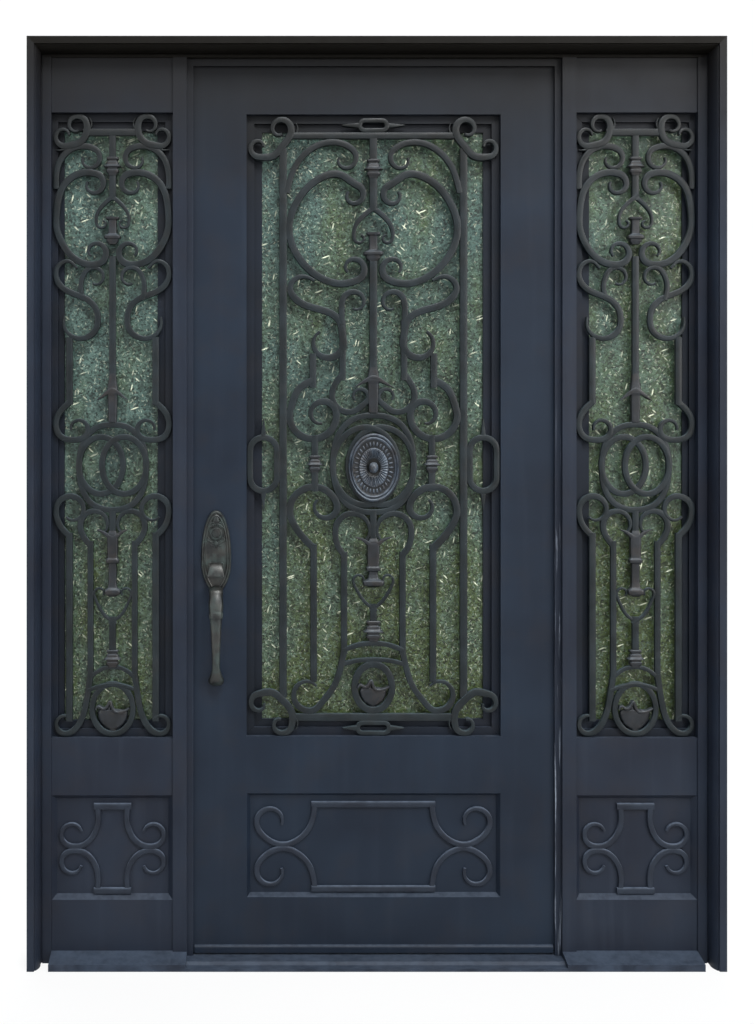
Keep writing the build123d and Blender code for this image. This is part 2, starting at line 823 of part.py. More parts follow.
# Medallion: double rim, ring of petals and a boss, seated on the interlocked ovals
with BuildPart() as medallion:
    with BuildSketch(facing(grille_back - grille_thickness)):
        add(oval(0, medallion_z, medallion_half_x, medallion_half_z, medallion_sides))
    extrude(amount=medallion_plate)
    with BuildSketch(facing(medallion_face)):
        add(oval_ring(0, medallion_z, medallion_half_x, medallion_half_z, 8, medallion_sides))
    extrude(amount=5)
    with BuildSketch(facing(medallion_face)):
        for petal in range(petal_count):
            heading = 2 * pi * petal / petal_count
            half = 0.36 * 2 * pi / petal_count
            with BuildLine():
                corners = []
                for reach, angle in ((0.26, heading), (0.7, heading - half), (0.7, heading + half)):
                    x = reach * medallion_half_x * cos(angle)
                    corners.append((x, medallion_z + reach * medallion_half_z * sin(angle)))
                Polyline(*corners, close=True)
            make_face()
    extrude(amount=3)
    with BuildSketch(facing(medallion_face)):
        with Locations((0, medallion_z)):
            RegularPolygon(15, 12)
    extrude(amount=6)
    with BuildSketch(facing(medallion_face - 6)):
        with Locations((0, medallion_z)):
            RegularPolygon(14, 12)
    extrude(amount=5, taper=50)
save(medallion.part, "door_grille_medallion")

# Sidelight grilles, made at the middle and moved to their places
side_grille = scrollwork(side_scrolls, side_middle_work, side_grille_back, side_grille_thickness)
with BuildPart() as side_castings:
    add(casting(collar(2096, 48, 23), side_grille_back, side_grille_thickness))
    add(casting(socket(1984, 1912, 18, 11, 22), side_grille_back, side_grille_thickness))
    add(casting(spear(1576, 1520), side_grille_back, side_grille_thickness))
    add(wings(1528, 1496, 41, side_grille_back, side_grille_thickness))
    add(casting(tulip(1146, 972, 22), side_grille_back, side_grille_thickness))
    add(wings(1132, 1150, 42, side_grille_back, side_grille_thickness))
    add(casting(collar(784, 46, 23), side_grille_back, side_grille_thickness))
    add(side_grille, mode=Mode.SUBTRACT)
side_bowl = bowl(672, 62 - side_foot_ring, 74 - side_foot_ring, 24, side_grille_back, side_grille_thickness)
to_left = Location((-side_middle, 0, 0))
save_pair(side_grille.moved(to_left), "sidelight_grille")
save_pair(side_castings.part.moved(to_left), "sidelight_grille_castings")
save_pair(side_bowl.moved(to_left), "sidelight_grille_bowl")

# Scrolled ornaments on the sunk lower panels, the same above and below their middle
door_ornament_corner = bar(
    [(-157, 408), (-171, 352), (-203, 318), (-243, 305), (-283, 319)] + curl(-274, 366, 39, 200, -215, 0.75),
    14,
    None,
    curl_tip,
)
with BuildPart() as door_ornament:
    with BuildSketch(facing(leaf_front + leaf_recess)):
        add(door_ornament_corner)
        mirror(about=Plane.YZ)
        mirror(about=Plane.XZ.offset(-ornament_middle))
        add(straight(-166, 166, 405, 421))
        add(straight(-166, 166, 2 * ornament_middle - 421, 2 * ornament_middle - 405))
    extrude(amount=ornament_thickness)
save(door_ornament.part, "door_lower_ornament")
side_ornament_corner = bar(
    [(-40, 410), (-39, 370), (-50, 337), (-74, 312)] + curl(-106, 338, 32, -95, -245, 0.75),
    14,
    None,
    curl_tip,
)
with BuildPart() as side_ornament:
    with BuildSketch(facing(side_front + side_recess)):
        add(side_ornament_corner)
        mirror(about=Plane.YZ)
        mirror(about=Plane.XZ.offset(-ornament_middle))
        add(straight(-50, 50, 404, 421))
        add(straight(-50, 50, 2 * ornament_middle - 421, 2 * ornament_middle - 404))
    extrude(amount=ornament_thickness)
save_pair(side_ornament.part.moved(to_left), "sidelight_lower_ornament")

# Handleset outside: a long plate pointed at the top, with a raised rim
def plate_outline(inset):
    """Outline of the handle plate, drawn in from its edge by the inset."""
    right = []
    for step in range(plate_steps):
        lift = cos(pi * step / (plate_steps - 1))
        reach = plate_top - plate_wide if lift > 0 else plate_wide - plate_bottom
        z = plate_wide + lift * (reach - 1.6 * inset)
        right.append(((plate_half - inset) * (1 - abs(lift) ** 2.6), z))
    with BuildSketch() as outline:
        with BuildLine():
            Polyline(*right, *[(-x, z) for x, z in reversed(right[1:-1])], close=True)
        make_face()
    return outline.sketch.moved(Location((handle_x, 0, 0)))


with BuildPart() as plate:
    with BuildSketch(facing(leaf_front)):
        add(plate_outline(0))
    extrude(amount=plate_thickness)
    with BuildSketch(facing(leaf_front - plate_thickness)):
        add(plate_outline(0))
        add(plate_outline(5), mode=Mode.SUBTRACT)
    extrude(amount=3)
    with BuildSketch(facing(leaf_front - plate_thickness)):
        with Locations((handle_x, latch_z)):
            Rectangle(24, 36)
    extrude(amount=-4, mode=Mode.SUBTRACT)
save(plate.part, "handle_plate")

# Deadbolt cylinder on the plate
with BuildPart() as cylinder:
    with BuildSketch(facing(leaf_front - plate_thickness)):
        with Locations((handle_x, deadbolt_z)):
            RegularPolygon(17, 20)
    extrude(amount=9)
    with BuildSketch(facing(leaf_front - plate_thickness - 9)):
        with Locations((handle_x, deadbolt_z)):
            RegularPolygon(11, 16)
    extrude(amount=3)
save(cylinder.part, "deadbolt_cylinder")

# Pull grip: its side view and its front view give the bowed, tapered form between them
grip_front = [(13, 1004), (19, 975), (19, 962), (15, 952), (17, 936)]
grip_front += [(11.5, 830), (10.5, 785), (20, 768), (22, 745), (18, 733)]
grip_outer = [(-22, 1002), (-44, 984), (-54, 930), (-55, 870), (-51, 800), (-38, 754), (5, 733)]
grip_inner = [(5, 756), (-20, 764), (-33, 800), (-37, 870), (-34, 925), (-18, 962), (-2, 972)]
with BuildPart() as grip:
    with BuildSketch(Plane.YZ.offset(handle_x - 30)):
        with BuildLine():
            Polyline((-2, 1004), *grip_outer, *grip_inner, close=True)
        make_face()
    extrude(amount=60)
    with BuildSketch(facing(leaf_front)):
        with BuildLine():
            Polyline(
                *[(handle_x + half, z) for half, z in grip_front],
                *[(handle_x - half, z) for half, z in reversed(grip_front)],
                close=True,
            )
        make_face()
    extrude(amount=80, mode=Mode.INTERSECT)
    add(plate.part, mode=Mode.SUBTRACT)
save(grip.part, "pull_grip")

# Thumb latch: a rocker on a pin in the plate, arched forward and widening to its lip
thumb_outer = [(0, 1034), (-8, 1051), (-17, 1062), (-28, 1065), (-40, 1056), (-47, 1040), (-49, 1028)]
thumb_inner = [(-43, 1028), (-41, 1038), (-36, 1050), (-28, 1059), (-18, 1056), (-11, 1046), (-5, 1030), (0, 1022)]
thumb_plan = [(7, 0), (8, -6), (13, -16), (17, -28), (22, -44), (21, -49)]
with BuildPart() as latch:
    with BuildSketch(Plane.YZ.offset(handle_x - 30)):
        with BuildLine():
            Polyline(*thumb_outer, *thumb_inner, close=True)
        make_face()
    extrude(amount=60)
    with BuildSketch(Plane.XY.offset(thumb_inner[-1][1] - 10)):
        with BuildLine():
            Polyline(
                *[(handle_x + half, y) for half, y in thumb_plan],
                *[(handle_x - half, y) for half, y in reversed(thumb_plan)],
                close=True,
            )
        make_face()
    extrude(amount=80, mode=Mode.INTERSECT)
save(latch.part, "thumb_latch")

# Lever and turn piece inside
with BuildPart() as rose:
    with BuildSketch(facing(leaf_back)):
        with Locations((handle_x, latch_z)):
            RegularPolygon(32, 20)
    extrude(amount=-9)
    with BuildSketch(facing(leaf_back + 9)):
        with Locations((handle_x, latch_z)):
            RegularPolygon(11, 12)
    extrude(amount=-42)
    with BuildSketch(facing(leaf_back + 38)):
        with Locations((handle_x + 50, latch_z)):
            SlotCenterToCenter(100, 20)
    extrude(amount=-14)
save(rose.part, "inside_lever")
with BuildPart() as turn:
    with BuildSketch(facing(leaf_back)):
        with Locations((handle_x, deadbolt_z)):
            RegularPolygon(28, 20)
    extrude(amount=-10)
    with BuildSketch(facing(leaf_back + 10)):
        with Locations((handle_x, deadbolt_z)):
            SlotCenterToCenter(32, 10, rotation=90)
    extrude(amount=-16)
save(turn.part, "inside_thumb_turn")
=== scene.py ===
import json
from functools import partial
from math import copysign, cos, hypot, pi, radians, sin

import bmesh
import bpy
import numpy as np
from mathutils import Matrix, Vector


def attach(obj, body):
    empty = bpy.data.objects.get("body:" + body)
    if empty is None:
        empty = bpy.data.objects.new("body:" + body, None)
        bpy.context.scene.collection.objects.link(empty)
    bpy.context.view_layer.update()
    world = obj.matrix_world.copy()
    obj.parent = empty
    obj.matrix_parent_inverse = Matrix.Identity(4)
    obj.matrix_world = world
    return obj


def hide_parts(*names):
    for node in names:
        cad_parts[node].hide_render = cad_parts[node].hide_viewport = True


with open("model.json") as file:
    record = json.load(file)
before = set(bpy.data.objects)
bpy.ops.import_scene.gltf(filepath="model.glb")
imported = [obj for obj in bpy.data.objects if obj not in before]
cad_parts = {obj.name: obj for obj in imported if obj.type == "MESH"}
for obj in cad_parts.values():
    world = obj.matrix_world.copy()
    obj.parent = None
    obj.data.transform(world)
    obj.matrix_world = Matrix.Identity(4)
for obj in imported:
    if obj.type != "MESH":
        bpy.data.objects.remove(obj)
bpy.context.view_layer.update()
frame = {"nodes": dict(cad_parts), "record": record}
print("frame loaded:", len(frame["nodes"]), "nodes")

mm = 0.001


def linear(hexCode):
    channels = [int(hexCode[at:at + 2], 16) / 255 for at in (1, 3, 5)]
    return tuple(c / 12.92 if c <= 0.04045 else ((c + 0.055) / 1.055) ** 2.4 for c in channels) + (1.0,)


def addNode(tree, kind, inputs=(), **settings):
    # inputs go by name or in their order, and a node among them stands for its first output in use
    node = tree.nodes.new(kind)
    for name, value in settings.items():
        setattr(node, name, value)
    for name, value in inputs.items() if isinstance(inputs, dict) else enumerate(inputs):
        if isinstance(value, bpy.types.Node):
            value = next(socket for socket in value.outputs if socket.enabled)
        if isinstance(value, bpy.types.NodeSocket):
            tree.links.new(value, node.inputs[name])
        else:
            node.inputs[name].default_value = value
    return node


def newMaterial(name):
    # an empty material, what adds nodes to it, and the place on the object that its patterns read
    material = bpy.data.materials.new(name)
    material.use_nodes = True
    material.node_tree.nodes.clear()
    add = partial(addNode, material.node_tree)
    return material, add, add("ShaderNodeTexCoord").outputs["Object"]


def blotches(add, place, sizeMm, start, full, least=0.0, most=1.0, detail=3.0, roughness=0.5, stretch=0):
    # soft patches cut from a noise between start and full; a stretch below 1 draws them out upright
    if stretch:
        place = add("ShaderNodeMapping", {"Vector": place, "Scale": (1, 1, stretch)})
    pattern = add("ShaderNodeTexNoise", {
        "Vector": place, "Scale": 1000 / sizeMm, "Detail": detail, "Roughness": roughness})
    return add("ShaderNodeMapRange", [pattern, start, full, least, most])


def layOver(add, under, hexCode, share, *others):
    # a colour over what is there already, as far as every share lets it
    for other in others:
        share = add("ShaderNodeMath", [share, other], operation="MULTIPLY")
    return add("ShaderNodeMix", {0: share, 6: under, 7: linear(hexCode)}, data_type="RGBA")


def ironPaint(name, paint):
    material, add, place = newMaterial(name)
    at = add("ShaderNodeSeparateXYZ", [place]).outputs
    upward = add("ShaderNodeSeparateXYZ", [add("ShaderNodeNewGeometry").outputs["Normal"]]).outputs["Z"]
    clouds = blotches(add, place, paint["cloudMm"], 0.35, 0.65)
    runs = blotches(add, place, paint["runMm"], 0.52, 0.75, 0.0, paint["runs"], detail=4.0, stretch=0.05)
    # dust on upward faces, which is also painted top light on bars, ledges and castings
    dustAndToplight = add("ShaderNodeMapRange", [upward, paint["slope"], paint["slope"] + 0.5, 0.0, paint["dustAndToplight"]])
    patches = blotches(add, place, paint["patchMm"], 0.3, 0.6, 0.35, 1.0, detail=5.0, roughness=0.65)
    rust = blotches(add, place, paint["rustMm"], 0.5, 0.62, 0.0, paint["rusty"], detail=4.0, roughness=0.6)
    colour = layOver(add, linear(paint["deep"]), paint["pale"], clouds)
    colour = layOver(add, colour, paint["dustAndToplightColour"], runs)
    colour = layOver(add, colour, paint["dustAndToplightColour"], dustAndToplight, patches)
    colour = layOver(add, colour, paint["rust"], rust)
    # painted shade of the eaves: darker and browner towards the top of the door
    low, high = paint["eavesShadeBetween"]
    eavesShade = add("ShaderNodeMapRange", [at["Z"], low, high, 0.0, paint["eavesShadeShare"]])
    colour = layOver(add, colour, paint["eavesShade"], eavesShade)
    if "scuffs" in paint:
        low, high, bare = paint["scuffs"]
        fading = add("ShaderNodeMapRange", [at["Z"], low, high, 0.7, 0.0])
        scuffs = blotches(add, place, paint["scuffMm"], 0.56, 0.66, 0.0, fading, stretch=0.03)
        rightSide = add("ShaderNodeMapRange", [at["X"], 0.0, 0.1])
        colour = layOver(add, colour, bare, scuffs, rightSide, patches)
    # painted shade: the medallion's hollows turn black towards the back
    if "paintedHollowShade" in paint:
        front, back, hollowShadeColour = paint["paintedHollowShade"]
        colour = layOver(add, colour, hollowShadeColour, add("ShaderNodeMapRange", [at["Y"], front * mm, back * mm]))
    relief = {}
    for sizeMm, deep, detail in ((paint["dentMm"], paint["dentDeep"], 1.0), (paint["peelMm"], paint["peelDeep"], 2.0)):
        height = add("ShaderNodeTexNoise", {"Vector": place, "Scale": 1000 / sizeMm, "Detail": detail})
        relief = {"Normal": add("ShaderNodeBump", {"Height": height, "Strength": 1.0, "Distance": deep * mm, **relief})}
    rough = blotches(add, place, paint["sheenMm"], 0.3, 0.7, paint["rough"] - 0.06, paint["rough"] + 0.08, detail=4.0)
    shader = add("ShaderNodeBsdfPrincipled", {
        "Base Color": colour, "Roughness": rough, "Specular IOR Level": paint["specular"], **relief})
    add("ShaderNodeOutputMaterial", [shader])
    return material


# colours, sizes of the patterns in mm, shares from 0 to 1, and heights in metres for the painted eaves shade and the
# scuffs
casingPaint = {
    "deep": "#171c27", "pale": "#1d2430", "cloudMm": 260, "dustAndToplightColour": "#545d6b", "runMm": 28, "runs": 0.05, "patchMm": 18,
    "dustAndToplight": 0.5, "slope": 0.4, "rust": "#2e2620", "rustMm": 120, "rusty": 0.1, "eavesShade": "#0f0d0a", "eavesShadeShare": 0.9,
    "eavesShadeBetween": (2.0, 2.42), "peelMm": 2.2, "peelDeep": 0.02, "dentMm": 45, "dentDeep": 0.10, "sheenMm": 60,
    "rough": 0.52, "specular": 0.18}
leafPaint = dict(casingPaint, deep="#121a26", pale="#18222f", runs=0.03)
stopPaint = dict(casingPaint, scuffs=(0.8, 1.5, "#8b93a0"), scuffMm=4.5)
# painted shade of the mouldings' own steps: a darker paint
mouldingShadePaint = dict(casingPaint, deep="#0b1119", pale="#111823", runs=0.0)
# painted shade of the eaves over the head: a near black paint
shadedHeadPaint = dict(casingPaint, deep="#080705", pale="#0e0c0a", dustAndToplightColour="#2a2822", runs=0.03, dustAndToplight=0.15, rough=0.6,
                 specular=0.1)
scrollPaint = dict(casingPaint, deep="#171c26", pale="#202732", dustAndToplightColour="#5f6978", cloudMm=50, runs=0.0, dustAndToplight=0.9,
                   slope=0.1, rusty=0.0, specular=0.22)
forgedPaint = dict(casingPaint, deep="#0d1417", pale="#182024", dustAndToplightColour="#525f65", cloudMm=60, runs=0.0, dustAndToplight=0.75,
                   slope=0.2, rustMm=50, peelMm=3.5, peelDeep=0.05, dentMm=14, dentDeep=0.35, rough=0.42, specular=0.25)
castPaint = dict(forgedPaint, deep="#0f1216", pale="#1a1e23", dustAndToplightColour="#50565c", cloudMm=24, slope=0.12, dustAndToplight=0.8,
                 rustMm=34, rusty=0.3, peelMm=2.6, peelDeep=0.09, rough=0.4, specular=0.35)
medallionPaint = dict(castPaint, deep="#252b33", pale="#47505b", dustAndToplightColour="#757d86", rustMm=60, rusty=0.5,
                      paintedHollowShade=(2.0, 6.0, "#050607"), rough=0.34)
sillPaint = dict(casingPaint, deep="#1c232f", pale="#303947", dustAndToplightColour="#4f5968", cloudMm=70, runs=0.1)
hingePaint = dict(castPaint, deep="#24272c", pale="#474b52", cloudMm=12, rough=0.34)

# satin black paint sprayed on folded sheet steel: a soft sheen, faintly cloudy, dust and painted top light on the
# ledges
casingSteel = ironPaint("satinPaintedSteel", casingPaint)
leafSteel = ironPaint("satinPaintedLeafSteel", leafPaint)
# the stop, scratched pale by shoes and bags in the lower half of its right strip
scuffedSteel = ironPaint("scuffedStopSteel", stopPaint)
# the same paint under the eaves, near black with painted shade of the overhang, and brown with old dust
shadedHeadSteel = ironPaint("weatheredHeadSteelPaintedShade", shadedHeadPaint)
# the mouldings round the panes, darker with painted shade of their own steps
mouldingShadeSteel = ironPaint("shadedMouldingSteel", mouldingShadePaint)
# forged bar under brushed paint: hammer marks show as a slow ripple in the sheen
forgedIron = ironPaint("paintedForgedIron", forgedPaint)
# flat bar on the lower panels, pale on its upper edges with dust and painted top light
scrollIron = ironPaint("paintedFlatBar", scrollPaint)
# cast iron under thin paint: glossier, with a sandy grain
castIron = ironPaint("paintedCastIron", castPaint)
# the medallion is painted pale on its rays and rims as a painted highlight, and black in its hollows as painted shade
medallionIron = ironPaint("castIronPaintedHighlightsAndShade", medallionPaint)
# the sills are trodden and rained on, paler with dust and painted top light
sillSteel = ironPaint("dustySillSteel", sillPaint)
# hinges are turned steel under the same paint, burnished where the knuckles rub
hingeSteel = ironPaint("burnishedHingeSteel", hingePaint)

glassLook = {
    # colours of the glass: the painted view through it, its flecks and the painted glints
    "paintedSkyGrey": "#475d57", "paintedLawnGreen": "#46532f", "dark": "#080d0b", "light": "#7b9085", "paintedGlint": "#dfe3c8",
    "driftMm": 90, "mottleMm": 14, "grainMm": 4.2, "reliefMm": 0.6,
    # where mottle and grain turn dark or light: from, to, and the share at each end
    "shade": ((0.36, 0.5, 0.6, 0.0), (0.08, 0.45, 0.85, 0.0)),
    "bright": ((0.52, 0.68, 0.0, 0.3), (0.78, 1.0, 0.0, 0.4)),
    # painted glints along the flakes in the glass: turn, shift, length and width in mm, how rare they are and how
    # strong
    "glintFlakes": [(0.35, 0.0, 24, 2.0, 0.92, 1.0), (1.35, 3.1, 21, 2.0, 0.92, 0.9), (2.4, 7.7, 18, 2.0, 0.92, 0.9),
               (0.9, 1.7, 9, 1.6, 0.6, 0.3), (1.9, 5.3, 9, 1.6, 0.6, 0.3), (2.9, 9.1, 9, 1.6, 0.6, 0.3)]}


# obscure glass with a flaked face, its colour a painted view through it: sky grey above and lawn green below, broken
# into flecks, with painted glints
def obscureGlass(look):
    material, add, place = newMaterial("flakedObscureGlass")
    at = add("ShaderNodeSeparateXYZ", [place]).outputs
    # painted view through the glass: grey sky towards the top and the left, green lawn below
    upwards = add("ShaderNodeMapRange", [at["Z"], 0.7, 1.5, -0.1, 0.65])
    sideways = add("ShaderNodeMapRange", [at["X"], -0.7, 0.8, 0.3, -0.15])
    drift = blotches(add, place, look["driftMm"], 0.3, 0.7, -0.5, 0.5, detail=4.0, roughness=0.6, stretch=0.4)
    paintedSky = add("ShaderNodeMath", [upwards, sideways], operation="ADD")
    paintedSky = add("ShaderNodeMath", [paintedSky, drift], operation="ADD")
    colour = layOver(add, linear(look["paintedLawnGreen"]), look["paintedSkyGrey"], paintedSky)
    mottle = add("ShaderNodeTexNoise", {
        "Vector": place, "Scale": 1000 / look["mottleMm"], "Detail": 4.0, "Roughness": 0.7})
    cells = add("ShaderNodeTexVoronoi", {"Vector": place, "Scale": 1000 / look["grainMm"], "Randomness": 1.0})
    grain = add("ShaderNodeSeparateColor", [cells.outputs["Color"]])
    flecks = {}
    for tone in ("shade", "bright"):
        ofMottle, ofGrain = [add("ShaderNodeMapRange", [pattern, *cut])
                             for pattern, cut in zip((mottle, grain), look[tone])]
        flecks[tone] = add("ShaderNodeMath", [ofMottle, ofGrain], operation="MAXIMUM")
    colour = layOver(add, colour, look["dark"], flecks["shade"])
    colour = layOver(add, colour, look["light"], flecks["bright"])
    # painted glints along raised flakes
    paintedGlints = 0.0
    for turn, shift, long, wide, rare, strength in look["glintFlakes"]:
        turned = add("ShaderNodeMapping", {"Vector": place, "Rotation": (0, turn, 0), "Location": (shift, 0, shift)})
        drawn = add("ShaderNodeMapping", {"Vector": turned, "Scale": (1000 / long / 2, 1, 1000 / wide / 4)})
        glintFlakes = add("ShaderNodeTexVoronoi", {"Vector": drawn, "Scale": 1.0, "Randomness": 1.0}).outputs
        strokes = add("ShaderNodeMapRange", [glintFlakes["Distance"], 0.14, 0.28, strength, 0.0])
        picked = add("ShaderNodeSeparateColor", [glintFlakes["Color"]])
        picked = add("ShaderNodeMapRange", [picked, rare, rare + 0.06])
        strokes = add("ShaderNodeMath", [strokes, picked], operation="MULTIPLY")
        paintedGlints = add("ShaderNodeMath", [paintedGlints, strokes], operation="MAXIMUM")
    colour = layOver(add, colour, look["paintedGlint"], paintedGlints)
    relief = add("ShaderNodeMath", [grain, paintedGlints], operation="ADD")
    relief = add("ShaderNodeBump", {"Height": relief, "Strength": 1.0, "Distance": look["reliefMm"] * mm})
    shader = add("ShaderNodeBsdfPrincipled", {
        "Base Color": colour, "Roughness": add("ShaderNodeMapRange", [flecks["shade"], 0.0, 0.85, 0.25, 0.45]),
        "IOR": 1.5, "Specular IOR Level": 0.3, "Transmission Weight": 0.12, "Normal": relief})
    add("ShaderNodeOutputMaterial", [shader])
    return material


flakedGlass = obscureGlass(glassLook)

bronzeLook = {"dark": "#232526", "rubbed": "#393937", "rubbedMm": 40, "patina": "#2d3836", "patinaMm": 30,
              "grainMm": 2.4, "grainDeep": 0.12}


# patinated bronze: brown metal where hands rub it, dull grey green where they don't
def patinatedBronze(look):
    material, add, place = newMaterial("patinatedBronze")
    rubbed = blotches(add, place, look["rubbedMm"], 0.42, 0.62, detail=4.0)
    crust = blotches(add, place, look["patinaMm"], 0.46, 0.66, detail=6.0, roughness=0.65)
    colour = layOver(add, linear(look["dark"]), look["rubbed"], rubbed)
    colour = layOver(add, colour, look["patina"], crust)
    grain = add("ShaderNodeTexNoise", {
        "Vector": place, "Scale": 1000 / look["grainMm"], "Detail": 3.0, "Roughness": 0.6})
    relief = add("ShaderNodeBump", {"Height": grain, "Strength": 1.0, "Distance": look["grainDeep"] * mm})
    shader = add("ShaderNodeBsdfPrincipled", {
        "Base Color": colour, "Metallic": add("ShaderNodeMapRange", [crust, 0.0, 1.0, 0.6, 0.15]),
        "Roughness": add("ShaderNodeMapRange", [crust, 0.0, 1.0, 0.38, 0.62]), "Normal": relief})
    add("ShaderNodeOutputMaterial", [shader])
    return material


bronze = patinatedBronze(bronzeLook)
print("materials made")

finishes = {
    "painted_iron": casingSteel, "forged_iron": forgedIron, "sill_iron": sillSteel, "obscure_glass": flakedGlass,
    "patinated_bronze": bronze, "hinge_steel": hingeSteel}
slotOf = {part["node"]: part["material_slot"] for part in frame["record"]["subparts"]}
for name, node in frame["nodes"].items():
    material = finishes[slotOf[name]]
    if "glazing_frame" in name:
        material = mouldingShadeSteel
    elif name in ("head", "door_stop"):
        material = shadedHeadSteel if name == "head" else scuffedSteel
    elif material is casingSteel and (name in ("hinge_stile", "lock_stile", "drip_strip") or name.startswith("door_")):
        material = leafSteel
    node.data.materials.clear()
    node.data.materials.append(material)
print("nodes finished")


def declare(piece, body, slot, *replaced):
    if replaced:
        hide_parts(*replaced)
    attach(piece, body)


def makePiece(name, work, material, body, replaced, sharp=40):
    # a mesh of the work, in the given body, with the node that it replaces hidden
    mesh = bpy.data.meshes.new(name)
    mesh.from_pydata([Vector(point) * mm for point in work.points], [], work.faces)
    shell = bmesh.new()
    shell.from_mesh(mesh)
    bmesh.ops.recalc_face_normals(shell, faces=shell.faces)
    shell.to_mesh(mesh)
    shell.free()
    mesh.materials.append(material)
    mesh.shade_smooth()
    mesh.set_sharp_from_angle(angle=radians(sharp))
    piece = bpy.data.objects.new(name, mesh)
    bpy.context.scene.collection.objects.link(piece)
    declare(piece, body, slotOf[replaced], replaced)


def smoothPath(points, spacing=4.0):
    # a natural cubic spline through the points, in even steps
    stops = np.array(points, float)
    gaps = np.hypot(*np.diff(stops[:, :2], axis=0).T)
    knots = np.concatenate([[0], np.cumsum(gaps)])
    count = len(stops)
    system = np.eye(count)
    right = np.zeros(stops.shape)
    for at in range(1, count - 1):
        system[at, at - 1:at + 2] = gaps[at - 1], 2 * (gaps[at - 1] + gaps[at]), gaps[at]
        right[at] = 6 * ((stops[at + 1] - stops[at]) / gaps[at] - (stops[at] - stops[at - 1]) / gaps[at - 1])
    bend = np.linalg.solve(system, right)
    along = np.linspace(0, knots[-1], max(1, int(knots[-1] / spacing)) + 1)
    low = np.clip(np.searchsorted(knots, along) - 1, 0, count - 2)
    before = ((knots[low + 1] - along) / gaps[low])[:, None]
    after = 1 - before
    lift = (gaps[low] ** 2 / 6)[:, None]
    curve = before * stops[low] + after * stops[low + 1]
    return curve + ((before ** 3 - before) * bend[low] + (after ** 3 - after) * bend[low + 1]) * lift


def curl(x, z, radius, angle, turn, eye=0.4):
    # points of a curl round a centre: where it starts, how far it turns and how far it closes in
    steps = int(-(-abs(turn) // 30))
    points = []
    for step in range(steps + 1):
        part = step / steps
        reach = radius * (1 - (1 - eye) * part ** 1.5)
        heading = radians(angle + turn * part)
        points.append((x + reach * cos(heading), z + reach * sin(heading)))
    return points


def barSection(width, front, back, soft):
    side = width / 2
    soft = min(soft, side * 0.6)
    ease = 0.3 * soft
    return [(-side, back - soft / 2), (-side, front + soft), (-side + ease, front + ease), (-side + soft, front),
            (side - soft, front), (side - ease, front + ease), (side, front + soft), (side, back - soft / 2),
            (side - soft / 2, back), (-side + soft / 2, back)]


def easeCorners(profile, radius):
    # cuts each corner of a profile and puts a point on the round between
    path = [profile[0]]
    for before, at, after in zip(profile, profile[1:], profile[2:]):
        cuts = []
        for other in (before, after):
            share = min(0.42, radius / max(hypot(other[0] - at[0], other[1] - at[1]), 0.01))
            cuts.append((at[0] + (other[0] - at[0]) * share, at[1] + (other[1] - at[1]) * share))
        rounded = tuple((cuts[0][axis] + cuts[1][axis] + 2 * at[axis]) / 4 for axis in (0, 1))
        path += [cuts[0], rounded, cuts[1]]
    return path + [profile[-1]]


